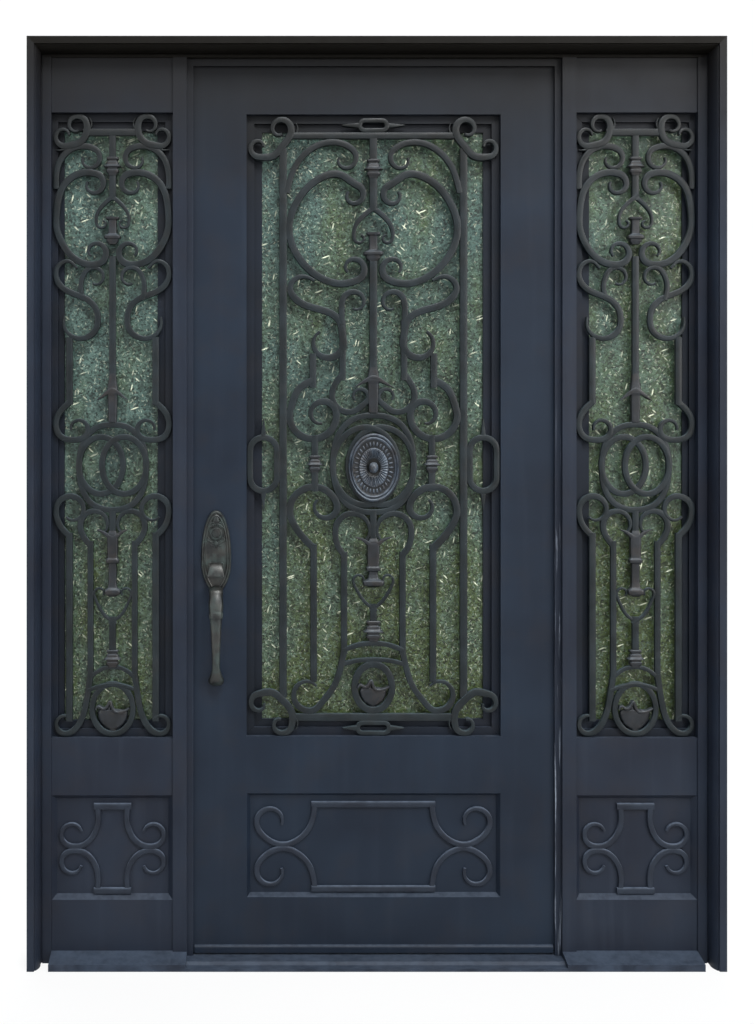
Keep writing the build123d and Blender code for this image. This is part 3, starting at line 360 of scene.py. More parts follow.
class Ironwork:
    # gathers bars, castings and turned forms into one mesh
    def __init__(self, front=0.0, back=0.0, middleX=0.0, soft=2.2):
        self.points, self.faces = [], []
        self.front, self.back, self.middleX, self.soft = front, back, middleX, soft
        self.laid = 0

    def skin(self, loops, ring=False):
        first, size, rows = len(self.points), len(loops[0]), len(loops)
        for loop in loops:
            self.points.extend(loop)
        for row in range(rows if ring else rows - 1):
            here, there = first + row * size, first + ((row + 1) % rows) * size
            for at in range(size):
                nextAt = (at + 1) % size
                self.faces.append((here + at, here + nextAt, there + nextAt, there + at))
        if not ring:
            for row in (0, rows - 1):
                self.faces.append(tuple(first + row * size + at for at in range(size)))

    def sweep(self, path, widths, ring=False, both=True, lift=0.0):
        # each bar lies a hair nearer or further, so that lapped faces never share a plane
        goldenShare, mostApart = 0.618, 1.5
        path = np.array(path)
        along = np.roll(path, -1, 0) - np.roll(path, 1, 0) if ring else np.gradient(path, axis=0)
        along /= np.maximum(np.hypot(*along.T), 1e-9)[:, None]
        for side in ((-1, 1) if both else (1,)):
            step = (self.laid * goldenShare) % 1 * mostApart - lift
            self.laid += 1
            loops = []
            for (x, z), (dx, dz), width in zip(path, along, widths):
                section = barSection(width, self.front + step, self.back - step * 0.3, self.soft)
                loops.append([(self.middleX + side * (x - dz * across), depth, z + dx * across)
                              for across, depth in section])
            self.skin(loops, ring)

    def bar(self, path, width=19, start=None, end=None, both=True, lift=0.0, drawn=110):
        # a bent bar, drawn out thinner over the last of its length where a start or an end width is given
        path = smoothPath(path)
        length = np.concatenate([[0], np.cumsum(np.hypot(*np.diff(path, axis=0).T))])
        widths = np.full(len(path), float(width))
        if start is not None:
            widths = np.minimum(widths, start + (width - start) * length / drawn)
        if end is not None:
            widths = np.minimum(widths, end + (width - end) * (length[-1] - length) / drawn)
        self.sweep(path, widths, both=both, lift=lift)

    def post(self, xLow, xHigh, zLow, zHigh, both=True):
        across, up = (xLow + xHigh) / 2, (zLow + zHigh) / 2
        if xHigh - xLow > zHigh - zLow:
            self.sweep([(xLow, up), (xHigh, up)], [zHigh - zLow] * 2, both=both)
        else:
            self.sweep([(across, zLow), (across, zHigh)], [xHigh - xLow] * 2, both=both)

    def ring(self, x, z, halfX, halfZ, width, fullness=0.0, both=True, lift=0.0, steps=96):
        path = []
        for step in range(steps):
            heading = 2 * pi * step / steps
            reach = 1 + fullness * sin(2 * heading) ** 2
            across, up = reach * cos(heading), reach * sin(heading)
            path.append((x + (halfX - width / 2) * across, z + (halfZ - width / 2) * up))
        self.sweep(path, [width] * steps, ring=True, both=both, lift=lift)

    def link(self, x, z, longHalf, shortHalf, width, tip, upright=False, both=True, steps=12):
        # a flat slotted link with a point at each end
        run, reach = longHalf - shortHalf, shortHalf - width / 2
        path = []
        for end in (1, -1):
            for step in range(steps + 1):
                heading = pi * (step / steps - 0.5) + (0 if end == 1 else pi)
                path.append((end * run + reach * cos(heading), reach * sin(heading)))
        spurs = [[(end * (longHalf - 4), 0), (end * tip, 0)] for end in (1, -1)]
        turned = [[(x - across, z + up) if upright else (x + up, z + across) for up, across in line]
                  for line in [path] + spurs]
        self.sweep(turned[0], [width] * len(path), ring=True, both=both)
        for spur in turned[1:]:
            self.sweep(spur, [14, 2], both=both)

    def casting(self, profile, x=0.0, square=0.3, bulge=0.62, corner=1.0, flutes=0, fluteDepth=0.0, steps=32):
        # an upright casting with rounded sides, deepest where it is widest, flat at the back
        middle = (self.front + self.back) / 2
        loops = []
        for half, z in easeCorners(profile, corner):
            depth = self.back - middle + bulge * half
            loop = []
            for step in range(steps + 1):
                turn = pi * step / steps
                across, out = cos(turn), sin(turn)
                cut = 1 - fluteDepth * (0.5 - 0.5 * cos(2 * flutes * turn))
                loop.append((self.middleX + x + half * cut * copysign(abs(across) ** square, across),
                             self.back - depth * cut * abs(out) ** square, z))
            loops.append(loop)
        self.skin(loops)

    def wings(self, zRoot, zTip, span, thick=15, thin=1.2):
        # a pair of thin leaves that reach out from the staff
        halfway = (zRoot + zTip) / 2
        path = smoothPath([(-span, zTip), (-span / 2, halfway - 1), (0, zRoot - 6), (span / 2, halfway - 1),
                           (span, zTip)], 3)
        widths = [thin + (thick - thin) * (1 - min(1, abs(x) / span)) ** 0.9 for x, z in path]
        self.sweep(path, widths, both=False, lift=4.0)

    def turned(self, z, profile, sides=56, halfX=1.0, halfZ=1.0, flutes=0, fluted=(0, 0), fluteDepth=0.0):
        # a turned form facing the front, from pairs of radius and depth; its halves stretch it to an oval
        loops = []
        for radius, depth in profile:
            loop = []
            for step in range(sides):
                heading = 2 * pi * step / sides
                ripple = fluteDepth * cos(flutes * heading) if fluted[0] < radius < fluted[1] else 0
                loop.append((self.middleX + radius * halfX * cos(heading), depth - ripple,
                             z + radius * halfZ * sin(heading)))
            loops.append(loop)
        self.skin(loops)


# door grille, left half, in millimetres from the door's middle line and from the floor
tip, fine, slim = 7, 6, 16
hook = {"width": slim, "end": fine}
doorGrille = {
    "front": 8, "back": 22,
    "scrolls": {
        "topCorner": {"path": curl(-249, 2222, 29, 0, 290, 0.45)[::-1] + [(-243, 2178), (-270, 2151)]
                      + curl(-306, 2174, 26, -85, -265), "start": tip, "end": tip, "lift": 1.5},
        "footCorner": {"path": curl(-304, 683, 27, 90, 265)[::-1] + [(-276, 714), (-242, 691), (-219, 660)]
                       + curl(-247, 630, 29, 0, -265), "start": tip, "end": tip, "lift": 1.5},
        "quarterArch": {"path": [(-232, 2052), (-211, 2120), (-173, 2166), (-119, 2188)]
                        + curl(-78, 2144, 34, 60, -250), **hook},
        "largeC": {"path": curl(-54, 2047, 29, 75, -290, 0.5)[::-1]
                   + [(-90, 2102), (-146, 2090), (-203, 2032), (-226, 1958), (-203, 1884), (-153, 1832), (-98, 1810)]
                   + curl(-55, 1849, 33, -75, 290, 0.5), "start": tip, "end": tip},
        "heart": {"path": [(8, 2018), (0, 2012), (-28, 1990), (-50, 1958)] + curl(-36, 1933, 16, 180, 250), "width": 13,
                  "end": fine},
        "underS": {"path": [(-158, 1818), (-196, 1828), (-223, 1802), (-206, 1766), (-127, 1735), (-92, 1711)]
                   + curl(-123, 1652, 44, 20, -255, 0.8), "start": 8, "end": tip},
        "staffHook": {"path": [(-84, 1700), (-85, 1740)] + curl(-50, 1757, 33, 170, -280, 0.45), **hook},
        "outerSnail": {"path": [(-162, 1550), (-198, 1528)] + curl(-162, 1456, 63, 155, 190, 1)
                       + curl(-137, 1457, 38, 30, 240, 0.6), "end": tip},
        "innerSnail": {"path": [(-82, 1568), (-103, 1538)] + curl(-66, 1510, 45, 170, 150, 1)
                       + curl(-37, 1505, 24, 0, 210, 0.6), **hook},
        "lowerSnail": {"path": [(-160, 1100), (-186, 1126), (-213, 1164)] + curl(-160, 1200, 64, 190, -180, 1)
                       + curl(-130, 1213, 34, -20, -200, 0.75), "end": tip},
        "lowerHook": {"path": [(-78, 1080), (-96, 1108)] + curl(-54, 1146, 48, 185, -225, 0.9), **hook},
        "flare": {"path": [(-78, 826), (-88, 780), (-107, 727), (-136, 688)] + curl(-173, 709, 45, -75, -240, 0.65),
                  **hook},
        "lyreArm": {"path": [(9, 932), (0, 938), (-19, 952), (-40, 980)] + curl(-37, 1013, 17, 205, -230, 0.6),
                    "width": 9, "end": 5},
        "upperTie": {"path": [(-80, 826), (-42, 840), (0, 845), (42, 840), (80, 826)], "width": 13, "both": False},
        "lowerTie": {"path": [(-86, 788), (-44, 798), (0, 801), (44, 798), (86, 788)], "width": 12, "both": False},
        "topSpur": {"path": [(-222, 2204), (-206, 2214), (-203, 2227), (-208, 2239)], "width": 6, "end": 1.6,
                    "drawn": 34},
        "footSpur": {"path": [(-222, 650), (-206, 640), (-203, 627), (-208, 615)], "width": 6, "end": 1.6,
                     "drawn": 34}},
    "pairedPosts": [(-252, -232, 700, 2172), (-171, -153, 1530, 1622), (-91, -74, 1550, 1712),
                    (-166, -148, 1252, 1402), (-169, -151, 742, 1110), (-87, -70, 816, 1090)],
    "middlePosts": [(-220, 220, 2197, 2214), (-214, 214, 637, 657), (-10, 10, 2006, 2200), (-10, 10, 1462, 1897),
                    (-9, 9, 1052, 1200), (-9, 9, 840, 950)],
    "rings": [{"x": -21, "z": 1320, "halfX": 96, "halfZ": 112, "width": slim},
              {"x": 0, "z": 1326, "halfX": 116, "halfZ": 138, "width": slim, "fullness": 0.06, "both": False,
               "lift": -1.2},
              {"x": 0, "z": 727, "halfX": 59, "halfZ": 71, "width": 18, "both": False}],
    "links": [{"x": -294.5, "z": 1325, "longHalf": 80, "shortHalf": 44.5, "width": 16.5, "tip": 122, "upright": True},
              {"x": 0, "z": 2233, "longHalf": 42.5, "shortHalf": 19, "width": 12, "tip": 84, "both": False},
              {"x": 0, "z": 618, "longHalf": 48, "shortHalf": 20, "width": 12, "tip": 82, "both": False}]}

# one sidelight grille, left half, from the sidelight's own middle line
sideGrille = {
    "front": -8, "back": 4, "middle": 697.5,
    "scrolls": {
        "topCorner": {"path": curl(-95, 2228, 27, 0, 290, 0.5)[::-1] + [(-84, 2186)]
                      + curl(-128, 2200, 27, -70, -275, 0.45),
                      "width": 18, "start": fine, "end": fine, "lift": 1.5},
        "quarterArch": {"path": [(-150, 2060), (-149, 2106), (-131, 2149), (-99, 2171)]
                        + curl(-63, 2140, 31, 75, -270, 0.5), **hook},
        "largeC": {"path": curl(-52, 2072, 30, 85, -290, 0.5)[::-1]
                   + [(-95, 2098), (-130, 2069), (-149, 1997), (-149, 1957), (-131, 1909), (-103, 1875), (-63, 1858)]
                   + curl(-46, 1890, 31, -75, 290, 0.5), "width": 18, "start": fine, "end": fine},
        "heart": {"path": [(7, 2045), (0, 2039), (-23, 2019), (-43, 1987)] + curl(-28, 1969, 15, 185, 240), "width": 11,
                  "end": 5},
        "underS": {"path": [(-95, 1848), (-118, 1867), (-142, 1857), (-151, 1830), (-140, 1803), (-109, 1782),
                            (-70, 1766), (-44, 1738)] + curl(-87, 1707, 48, 5, -200, 0.9), "width": slim, "start": tip,
                   "end": fine},
        "staffHook": {"path": [(-78, 1764), (-85, 1800)] + curl(-48, 1822, 30, 160, -270, 0.5), "width": 13,
                      "end": fine},
        "footHook": {"path": [(-115, 1490), (-139, 1466), (-151, 1436), (-139, 1400), (-106, 1390)]
                     + curl(-92, 1419, 27, -50, 240, 0.7), **hook},
        "outerLowerHook": {"path": [(-116, 1134), (-138, 1158)] + curl(-110, 1202, 41, 190, -320, 0.55), **hook},
        "innerLowerHook": {"path": [(-59, 1108), (-74, 1126)] + curl(-47, 1163, 39, 180, -230, 0.8), **hook},
        "flare": {"path": [(-59, 764), (-68, 702), (-80, 652), (-102, 617)] + curl(-126, 632, 26, -60, -260, 0.8),
                  **hook},
        "lyreArm": {"path": [(9, 900), (0, 906), (-20, 920), (-38, 948)] + curl(-34, 980, 16, 205, -230, 0.6),
                    "width": 9, "end": 5},
        "upperTie": {"path": [(-59, 756), (-30, 778), (0, 784), (30, 778), (59, 756)], "width": 11, "both": False},
        "lowerTie": {"path": [(-66, 722), (-30, 734), (0, 738), (30, 734), (66, 722)], "width": 10, "both": False},
        "topSpur": {"path": [(-68, 2212), (-58, 2224), (-56, 2237), (-61, 2249)], "width": 6, "end": 1.6, "drawn": 34},
        "fin": {"path": [(-126, 2166), (-138, 2163), (-151, 2163)], "width": 6, "end": 1.6, "drawn": 24}},
    "pairedPosts": [(-124, -106, 1484, 1664), (-124, -106, 640, 1142), (-67, -51, 758, 1120)],
    "middlePosts": [(-78, 78, 2201, 2220), (-9, 9, 2030, 2204), (-9, 9, 1436, 1880), (-9, 9, 1075, 1200),
                    (-9, 9, 780, 918)],
    "rings": [{"x": -31, "z": 1322, "halfX": 67, "halfZ": 84, "width": slim},
              {"x": 0, "z": 1317, "halfX": 97, "halfZ": 122, "width": slim, "fullness": 0.06, "both": False,
               "lift": -1.2},
              {"x": 0, "z": 672, "halfX": 62, "halfZ": 74, "width": 15, "both": False}],
    "links": []}


def forgeGrille(design, middleX=0.0):
    work = Ironwork(design["front"], design["back"], middleX)
    for scroll in design["scrolls"].values():
        work.bar(**scroll)
    for post in design["pairedPosts"]:
        work.post(*post)
    for post in design["middlePosts"]:
        work.post(*post, both=False)
    for ring in design["rings"]:
        work.ring(**ring)
    for link in design["links"]:
        work.link(**link)
    return work


makePiece("door_scrollwork", forgeGrille(doorGrille), forgedIron, "door_leaf", "door_grille")
sidelights = (("left_sidelight", -sideGrille["middle"]), ("right_sidelight", sideGrille["middle"]))
for place, middleX in sidelights:
    makePiece(place + "_scrollwork", forgeGrille(sideGrille, middleX), forgedIron, "frame", place + "_grille")
print("grilles forged")

# scrolled ornaments on the sunk lower panels, the same above and below their middle
lowerOrnament = {
    "middle": 300, "band": 14,
    "door": {"front": 10, "back": 19, "rail": (166, 113, 16),
             "path": [(-157, 408), (-171, 352), (-203, 318), (-243, 305), (-283, 319)]
             + curl(-274, 366, 39, 200, -215, 0.75)},
    "sidelight": {"front": -8, "back": 1, "rail": (50, 112.5, 17),
                  "path": [(-40, 410), (-39, 370), (-50, 337), (-74, 312)] + curl(-106, 338, 32, -95, -245, 0.75)}}


def forgeOrnament(design, middleX=0.0):
    work = Ironwork(design["front"], design["back"], middleX)
    middle = lowerOrnament["middle"]
    reach, rise, thick = design["rail"]
    for flip in (1, -1):
        work.bar([(x, middle + flip * (z - middle)) for x, z in design["path"]], lowerOrnament["band"], None, tip)
        work.sweep([(-reach, middle + flip * rise), (reach, middle + flip * rise)], [thick] * 2, both=False)
    return work


makePiece("door_lower_scrolls", forgeOrnament(lowerOrnament["door"]), scrollIron, "door_leaf", "door_lower_ornament")
for place, middleX in sidelights:
    makePiece(place + "_lower_scrolls", forgeOrnament(lowerOrnament["sidelight"], middleX), scrollIron, "frame",
              place + "_lower_ornament")
print("lower scrolls forged")


# castings seated over the bars: half widths and heights, from the top down
def collar(z, height, widest):
    steps = ((0.64, 1.0), (0.7, 0.97), (0.7, 0.87), (0.54, 0.84), (0.54, 0.76), (0.7, 0.73), (0.73, 0.6), (0.82, 0.54),
             (1.0, 0.49), (1.0, 0.44), (0.66, 0.42), (0.6, 0.32), (0.74, 0.29), (0.72, 0.17), (0.56, 0.1), (0.48, 0.0))
    return [(widest * half, z + height * up) for half, up in steps]


doorCastings = {
    "topCollar": {"profile": collar(2092, 50, 25)},
    "socket": {"profile": [(19, 1946), (19, 1940), (12, 1937), (11, 1920), (12, 1900), (27, 1893), (27, 1886),
                           (20, 1883), (19, 1876), (11, 1869)]},
    "leftCollar": {"profile": collar(1302, 46, 22), "x": -157},
    "rightCollar": {"profile": collar(1302, 46, 22), "x": 157},
    "spear": {"profile": [(9, 1620), (9.6, 1602), (11.5, 1582), (14.5, 1564), (18.5, 1549), (14.5, 1540), (14, 1500),
                          (12.5, 1464)]},
    "tulip": {"profile": [(11, 1126), (15, 1118), (17, 1108), (16.5, 1080), (16, 1052), (19.5, 1047), (19.5, 1040),
                          (12, 1037), (12, 1030), (15, 1018), (28, 1012), (29, 1007), (28, 1001), (10.5, 995)]},
    "footCollar": {"profile": collar(851, 54, 27)}}
sideCastings = {
    "topCollar": {"profile": collar(2096, 48, 23)},
    "socket": {"profile": [(18, 1984), (18, 1979), (11, 1976), (10.5, 1955), (11.5, 1940), (22, 1934), (22, 1927),
                           (17, 1925), (16, 1920), (10, 1912)]},
    "spear": {"profile": [(8, 1584), (9, 1568), (11, 1546), (13.5, 1530), (16.5, 1516), (12.5, 1508), (12, 1470),
                          (11, 1438)]},
    "tulip": {"profile": [(10, 1148), (13, 1140), (15, 1130), (14.5, 1100), (14, 1076), (18, 1070), (18, 1063),
                          (11, 1060), (11, 1010), (13, 996), (21, 990), (22, 985), (21, 979), (9.5, 972)]},
    "footCollar": {"profile": collar(784, 46, 23)}}
leafPairs = {"door": [(1562, 1530, 54), (1113, 1130, 50)], "sidelight": [(1528, 1496, 41), (1134, 1151, 42)]}

# cast bowls in the foot rings: a smooth bowl, its waved rim and the leaf that folds over it
bowls = {
    "door": {"body": [(3, 727), (35, 724), (38, 715), (35, 702), (28, 690), (17, 681), (8, 677), (9, 673)],
             "leaf": {"profile": [(1, 746), (5, 740), (9, 732), (10, 722)], "x": -8},
             "rim": [(-42, 726), (-35, 734), (-26, 729), (-16, 731), (-6, 745), (0, 729), (8, 721), (22, 721),
                     (33, 724), (42, 730)]},
    "sidelight": {"body": [(3, 672), (38, 669), (41, 659), (38, 645), (30, 632), (19, 622), (9, 617), (10, 612)],
                  "leaf": {"profile": [(1, 693), (5, 687), (9, 678), (11, 667)], "x": -9},
                  "rim": [(-45, 671), (-38, 680), (-28, 674), (-17, 676), (-7, 692), (0, 674), (9, 665), (24, 665),
                          (36, 669), (45, 675)]}}


def pourCastings(design, grille, wings, middleX=0.0):
    work = Ironwork(grille["front"], grille["back"], middleX)
    for one in design.values():
        work.casting(**one)
    for zRoot, zTip, span in wings:
        work.wings(zRoot, zTip, span)
    return work


def pourBowl(design, grille, middleX=0.0):
    work = Ironwork(grille["front"] + 3, grille["back"], middleX, 2.8)
    work.casting(design["body"], square=0.8, bulge=0.2)
    work.casting(**design["leaf"], square=1.2, bulge=0.7, corner=3)
    work.bar(design["rim"], 7.5, 3, 3, both=False, lift=7.5, drawn=14)
    return work


makePiece("door_collars", pourCastings(doorCastings, doorGrille, leafPairs["door"]), castIron, "door_leaf",
          "door_grille_castings", 32)
makePiece("door_foot_bowl", pourBowl(bowls["door"], doorGrille), castIron, "door_leaf", "door_grille_bowl", 50)
for place, middleX in sidelights:
    makePiece(place + "_collars", pourCastings(sideCastings, sideGrille, leafPairs["sidelight"], middleX), castIron,
              "frame", place + "_grille_castings", 32)
    makePiece(place + "_foot_bowl", pourBowl(bowls["sidelight"], sideGrille, middleX), castIron, "frame",
              place + "_grille_bowl", 50)
print("castings poured")

# cast medallion: an oval dish with a double rim, fine rays round a ball, and short rods between
medallion = {
    "z": 1316, "halfX": 68, "halfZ": 91.5, "back": 8, "rays": 40, "rayed": (0.3, 0.56), "rayDepth": 1.5,
    "ball": (12.5, 14.5),
    "dish": [(1.0, 0), (1.0, 4.5), (0.985, 8), (0.96, 9.6), (0.935, 8.6), (0.915, 4.5), (0.90, 4.2), (0.885, 7.4),
             (0.865, 8.6), (0.84, 7.6), (0.82, 3.4), (0.8, 2.6), (0.58, 2.6), (0.57, 6.4), (0.55, 7.4), (0.5, 7.0),
             (0.44, 6.0), (0.38, 4.8), (0.32, 3.6), (0.28, 3.0), (0.26, 1.2), (0.15, 1.0)],
    "rods": {"Count": 32, "Half Width": 0.69 * 68 * mm, "Half Height": 0.69 * 91.5 * mm, "Length": 14 * mm,
             "Thickness": 5.4 * mm, "Forward": 4.6 * mm, "Height": 1.316}}


def castMedallion(look):
    work = Ironwork()
    dish = [(share, look["back"] - forward) for share, forward in look["dish"]]
    work.turned(look["z"], dish, 176, look["halfX"], look["halfZ"], look["rays"], look["rayed"], look["rayDepth"])
    ball = [(sin(radians(turn)), look["back"] - 3.5 - 13 * cos(radians(turn))) for turn in range(90, 5, -12)]
    work.turned(look["z"], [(1.0, look["back"] - 1)] + ball + [(0.04, -8.6)], 40, *look["ball"])
    return work


def newTree(name, sizes):
    # a node group with an input for each size, what adds nodes to it, and the sizes as its nodes see them
    tree = bpy.data.node_groups.new(name, "GeometryNodeTree")
    for title, value in sizes.items():
        kind = "NodeSocketInt" if isinstance(value, int) else "NodeSocketFloat"
        tree.interface.new_socket(title, in_out="INPUT", socket_type=kind).default_value = value
    tree.interface.new_socket("Geometry", in_out="OUTPUT", socket_type="NodeSocketGeometry")
    add = partial(addNode, tree)
    return tree, add, add("NodeGroupInput").outputs


def finishTree(add, instances, material):
    whole = add("GeometryNodeRealizeInstances", [instances])
    add("NodeGroupOutput", [add("GeometryNodeSetMaterial", {"Geometry": whole, "Material": material})])


# rods set round an oval, each pointing away from its middle
def ovalOfRods(name, sizes, material):
    tree, add, given = newTree(name, sizes)
    turn = add("ShaderNodeMath", [add("GeometryNodeInputIndex"), 2 * pi], operation="MULTIPLY")
    turn = add("ShaderNodeMath", [turn, given["Count"]], operation="DIVIDE")
    halves = {}
    for axis, wave, half in (("X", "COSINE", "Half Width"), ("Z", "SINE", "Half Height")):
        share = add("ShaderNodeMath", [turn], operation=wave)
        halves[axis] = add("ShaderNodeMath", [share, given[half]], operation="MULTIPLY")
    outward = add("ShaderNodeCombineXYZ", halves)
    facing = add("FunctionNodeAlignRotationToVector", {"Vector": outward}, axis="X")
    middle = add("ShaderNodeCombineXYZ", {"Y": given["Forward"], "Z": given["Height"]})
    spot = add("ShaderNodeVectorMath", [outward, middle], operation="ADD")
    spots = add("GeometryNodePoints", {"Count": given["Count"], "Position": spot})
    rod = add("GeometryNodeMeshUVSphere", {"Segments": 10, "Rings": 8, "Radius": 0.5})
    size = add("ShaderNodeCombineXYZ", [given["Length"], given["Thickness"], given["Thickness"]])
    rods = add("GeometryNodeInstanceOnPoints", {"Points": spots, "Instance": rod, "Rotation": facing, "Scale": size})
    rods = add("GeometryNodeSetShadeSmooth", [add("GeometryNodeRealizeInstances", [rods])])
    finishTree(add, rods, material)
    return tree


# slotted screw heads, four to a hinge leaf and three leaves above each other, each slot turned its own way
def screwedLeaves(name, sizes, material):
    tree, add, given = newTree(name, sizes)
    index = add("GeometryNodeInputIndex")
    column = add("ShaderNodeMath", [index, 2.0], operation="MODULO")
    pair = add("ShaderNodeMath", [add("ShaderNodeMath", [index, 2.0], operation="DIVIDE")], operation="FLOOR")
    row = add("ShaderNodeMath", [pair, 2.0], operation="MODULO")
    level = add("ShaderNodeMath", [add("ShaderNodeMath", [index, 4.0], operation="DIVIDE")], operation="FLOOR")
    lowHigh = add("ShaderNodeMapRange", [level, 0.0, 1.0, given["Low"], given["Middle"]])
    topStep = add("ShaderNodeMapRange", [level, 1.0, 2.0, 0.0, given["Top Step"]])
    up = add("ShaderNodeMath", [lowHigh, topStep], operation="ADD")
    up = add("ShaderNodeMath", [column, given["Stagger"], up], operation="MULTIPLY_ADD")
    up = add("ShaderNodeMath", [row, given["Row Gap"], up], operation="MULTIPLY_ADD")
    across = add("ShaderNodeMath", [column, given["Column Gap"], given["Side"]], operation="MULTIPLY_ADD")
    spot = add("ShaderNodeCombineXYZ", [across, given["Back"], up])
    spots = add("GeometryNodePoints", {"Count": 12, "Position": spot})
    head = add("GeometryNodeMeshCylinder", {"Vertices": 20, "Radius": given["Head"], "Depth": 3 * mm})
    slot = add("GeometryNodeMeshCube", {"Size": (20 * mm, 1.1 * mm, 2 * mm)})
    slot = add("GeometryNodeTransform", {"Geometry": slot, "Translation": (0, 0, 1.8 * mm)})
    cut = add("GeometryNodeMeshBoolean", {"Mesh 1": head, "Mesh 2": slot}, operation="DIFFERENCE")
    turned = add("FunctionNodeRandomValue", {"Min": (-pi / 2, 0, 0), "Max": (-pi / 2, pi, 0), "Seed": 4},
                 data_type="FLOAT_VECTOR")
    heads = add("GeometryNodeInstanceOnPoints", {"Points": spots, "Instance": cut, "Rotation": turned})
    finishTree(add, heads, material)
    return tree


def bakeNodes(name, tree, sizes, body, slot):
    # runs the tree on an empty mesh and keeps what it makes as a plain mesh
    holder = bpy.data.objects.new(name, bpy.data.meshes.new(name))
    bpy.context.scene.collection.objects.link(holder)
    modifier = holder.modifiers.new(name, "NODES")
    modifier.node_group = tree
    for socket in tree.interface.items_tree:
        if socket.in_out == "INPUT" and socket.name in sizes:
            modifier[socket.identifier] = sizes[socket.name]
    graph = bpy.context.evaluated_depsgraph_get()
    made = bpy.data.meshes.new_from_object(holder.evaluated_get(graph), preserve_all_data_layers=True, depsgraph=graph)
    holder.modifiers.clear()
    holder.data = made
    declare(holder, body, slot)


makePiece("door_medallion", castMedallion(medallion), medallionIron, "door_leaf", "door_grille_medallion", 60)
rodTree = ovalOfRods("medallionRods", medallion["rods"], medallionIron)
bakeNodes("door_medallion_rods", rodTree, medallion["rods"], "door_leaf", "forged_iron")
print("medallion cast")

# handleset outside: a long pointed plate, the lock cylinder, the thumb latch and the bowed grip
handleset = {
    "x": -421, "plateTop": 1202, "plateWide": 1075, "plateBottom": 970, "plateHalf": 40, "topArch": 0.47,
    "footArch": 2.6, "pointed": 1.6,
    "relief": [(0, 5), (0, -1.5), (1.0, -3.8), (2.6, -5.0), (4.4, -4.6), (5.6, -2.2), (6.6, -2.0), (7.6, -3.8),
               (9.2, -4.6), (10.8, -3.6), (12.0, 0.2), (14.0, 0.8), (22.0, 0.0), (34.0, -0.6)],
    # a leaf and two small scrolls over the lock, a scrolled bracket under it
    "scrolls": [[(2, 1163), (9, 1170), (15, 1168)] + curl(11, 1162, 5.5, 20, -250, 0.5),
                [(4, 1188), (13, 1176), (20, 1158), (24, 1140)],
                [(1, 1112), (9, 1113), (16, 1119)] + curl(17, 1125, 5.5, -60, 260, 0.5),
                [(3, 1104), (8, 1108), (13, 1107)]],
    "leaf": [(0.8, 1196), (4.5, 1189), (8.5, 1180), (9.5, 1172), (6, 1166), (2, 1164)],
    "bud": [(2, 1121), (7, 1117), (6, 1109), (1.5, 1102)],
    "cylinderZ": 1141,
    "cylinder": [(26, -0.5), (26, -1.8), (24, -2.6), (22, -2.0), (20, 0.6), (17, 1.0), (17, -8.0), (16, -9.6),
                 (12.5, -10.4), (12, -9.4), (11.4, -9.4), (11, -11.4), (9.8, -12.4), (2.0, -12.6)],
    # lines as depth and height, halves and depths by the share of the way along
    "gripLine": [(0, 990), (-18, 987), (-33, 968), (-42, 935), (-46, 880), (-44, 820), (-36, 776), (-21, 752),
                 (5, 745)],
    "gripHalves": [(0, 15), (0.1, 17), (0.19, 18.5), (0.29, 17), (0.34, 15.5), (0.48, 13), (0.66, 10.6),
                   (0.78, 10.2), (0.84, 15), (0.9, 21), (0.96, 20), (1, 16)],
    "gripDepths": [(0, 11), (0.12, 13), (0.2, 13), (0.3, 12), (0.5, 9.6), (0.7, 8.6), (0.8, 8.6), (0.88, 11),
                   (0.95, 12), (1, 11)],
    "ridge": (0.05, 0.1), "leafed": (0.11, 0.27), "beadedTo": 0.325,
    "thumbLine": [(1, 1030), (-6, 1046), (-16, 1059), (-28, 1062), (-38, 1053), (-44, 1038), (-46, 1029)],
    "thumbHalves": [(0, 7), (0.2, 9), (0.45, 14), (0.7, 18), (1, 22.5)], "thumbDepths": [(0, 3.2), (1, 2.4)],
    "horns": {"x": 16, "y": -12, "z": 1058, "reach": 6.2, "thick": 2.6, "from": 200, "turn": -300}}


def plateLoop(inset, depth, steps=96):
    half, wide = handleset["plateHalf"] - inset, handleset["plateWide"]
    loop = []
    for step in range(steps):
        lift = cos(2 * pi * step / steps)
        tall = handleset["plateTop"] - wide if lift > 0 else wide - handleset["plateBottom"]
        tall -= handleset["pointed"] * inset
        across = (1 - lift ** 2) ** handleset["topArch"] if lift > 0 else 1 - abs(lift) ** handleset["footArch"]
        loop.append((handleset["x"] + half * across * (1 if step < steps / 2 else -1), depth, wide + lift * tall))
    return loop


def castPlate():
    work = Ironwork(-3.4, 0.6, handleset["x"], 1.6)
    work.skin([plateLoop(inset, depth) for inset, depth in handleset["relief"]])
    for path in handleset["scrolls"]:
        work.bar(path, 4.4, 2.6, 2, drawn=16)
    work.front = -5.0
    work.casting(handleset["leaf"], square=1.0, bulge=0.35, flutes=5, fluteDepth=0.1)
    work.casting(handleset["bud"], square=1.0, bulge=0.35)
    return work


def turnLock():
    work = Ironwork(-13.4, -10, handleset["x"], 0.5)
    work.turned(handleset["cylinderZ"], handleset["cylinder"])
    # the raised edge of the key slot
    work.post(-1.2, 1.2, handleset["cylinderZ"] - 6, handleset["cylinderZ"] + 3, both=False)
    return work


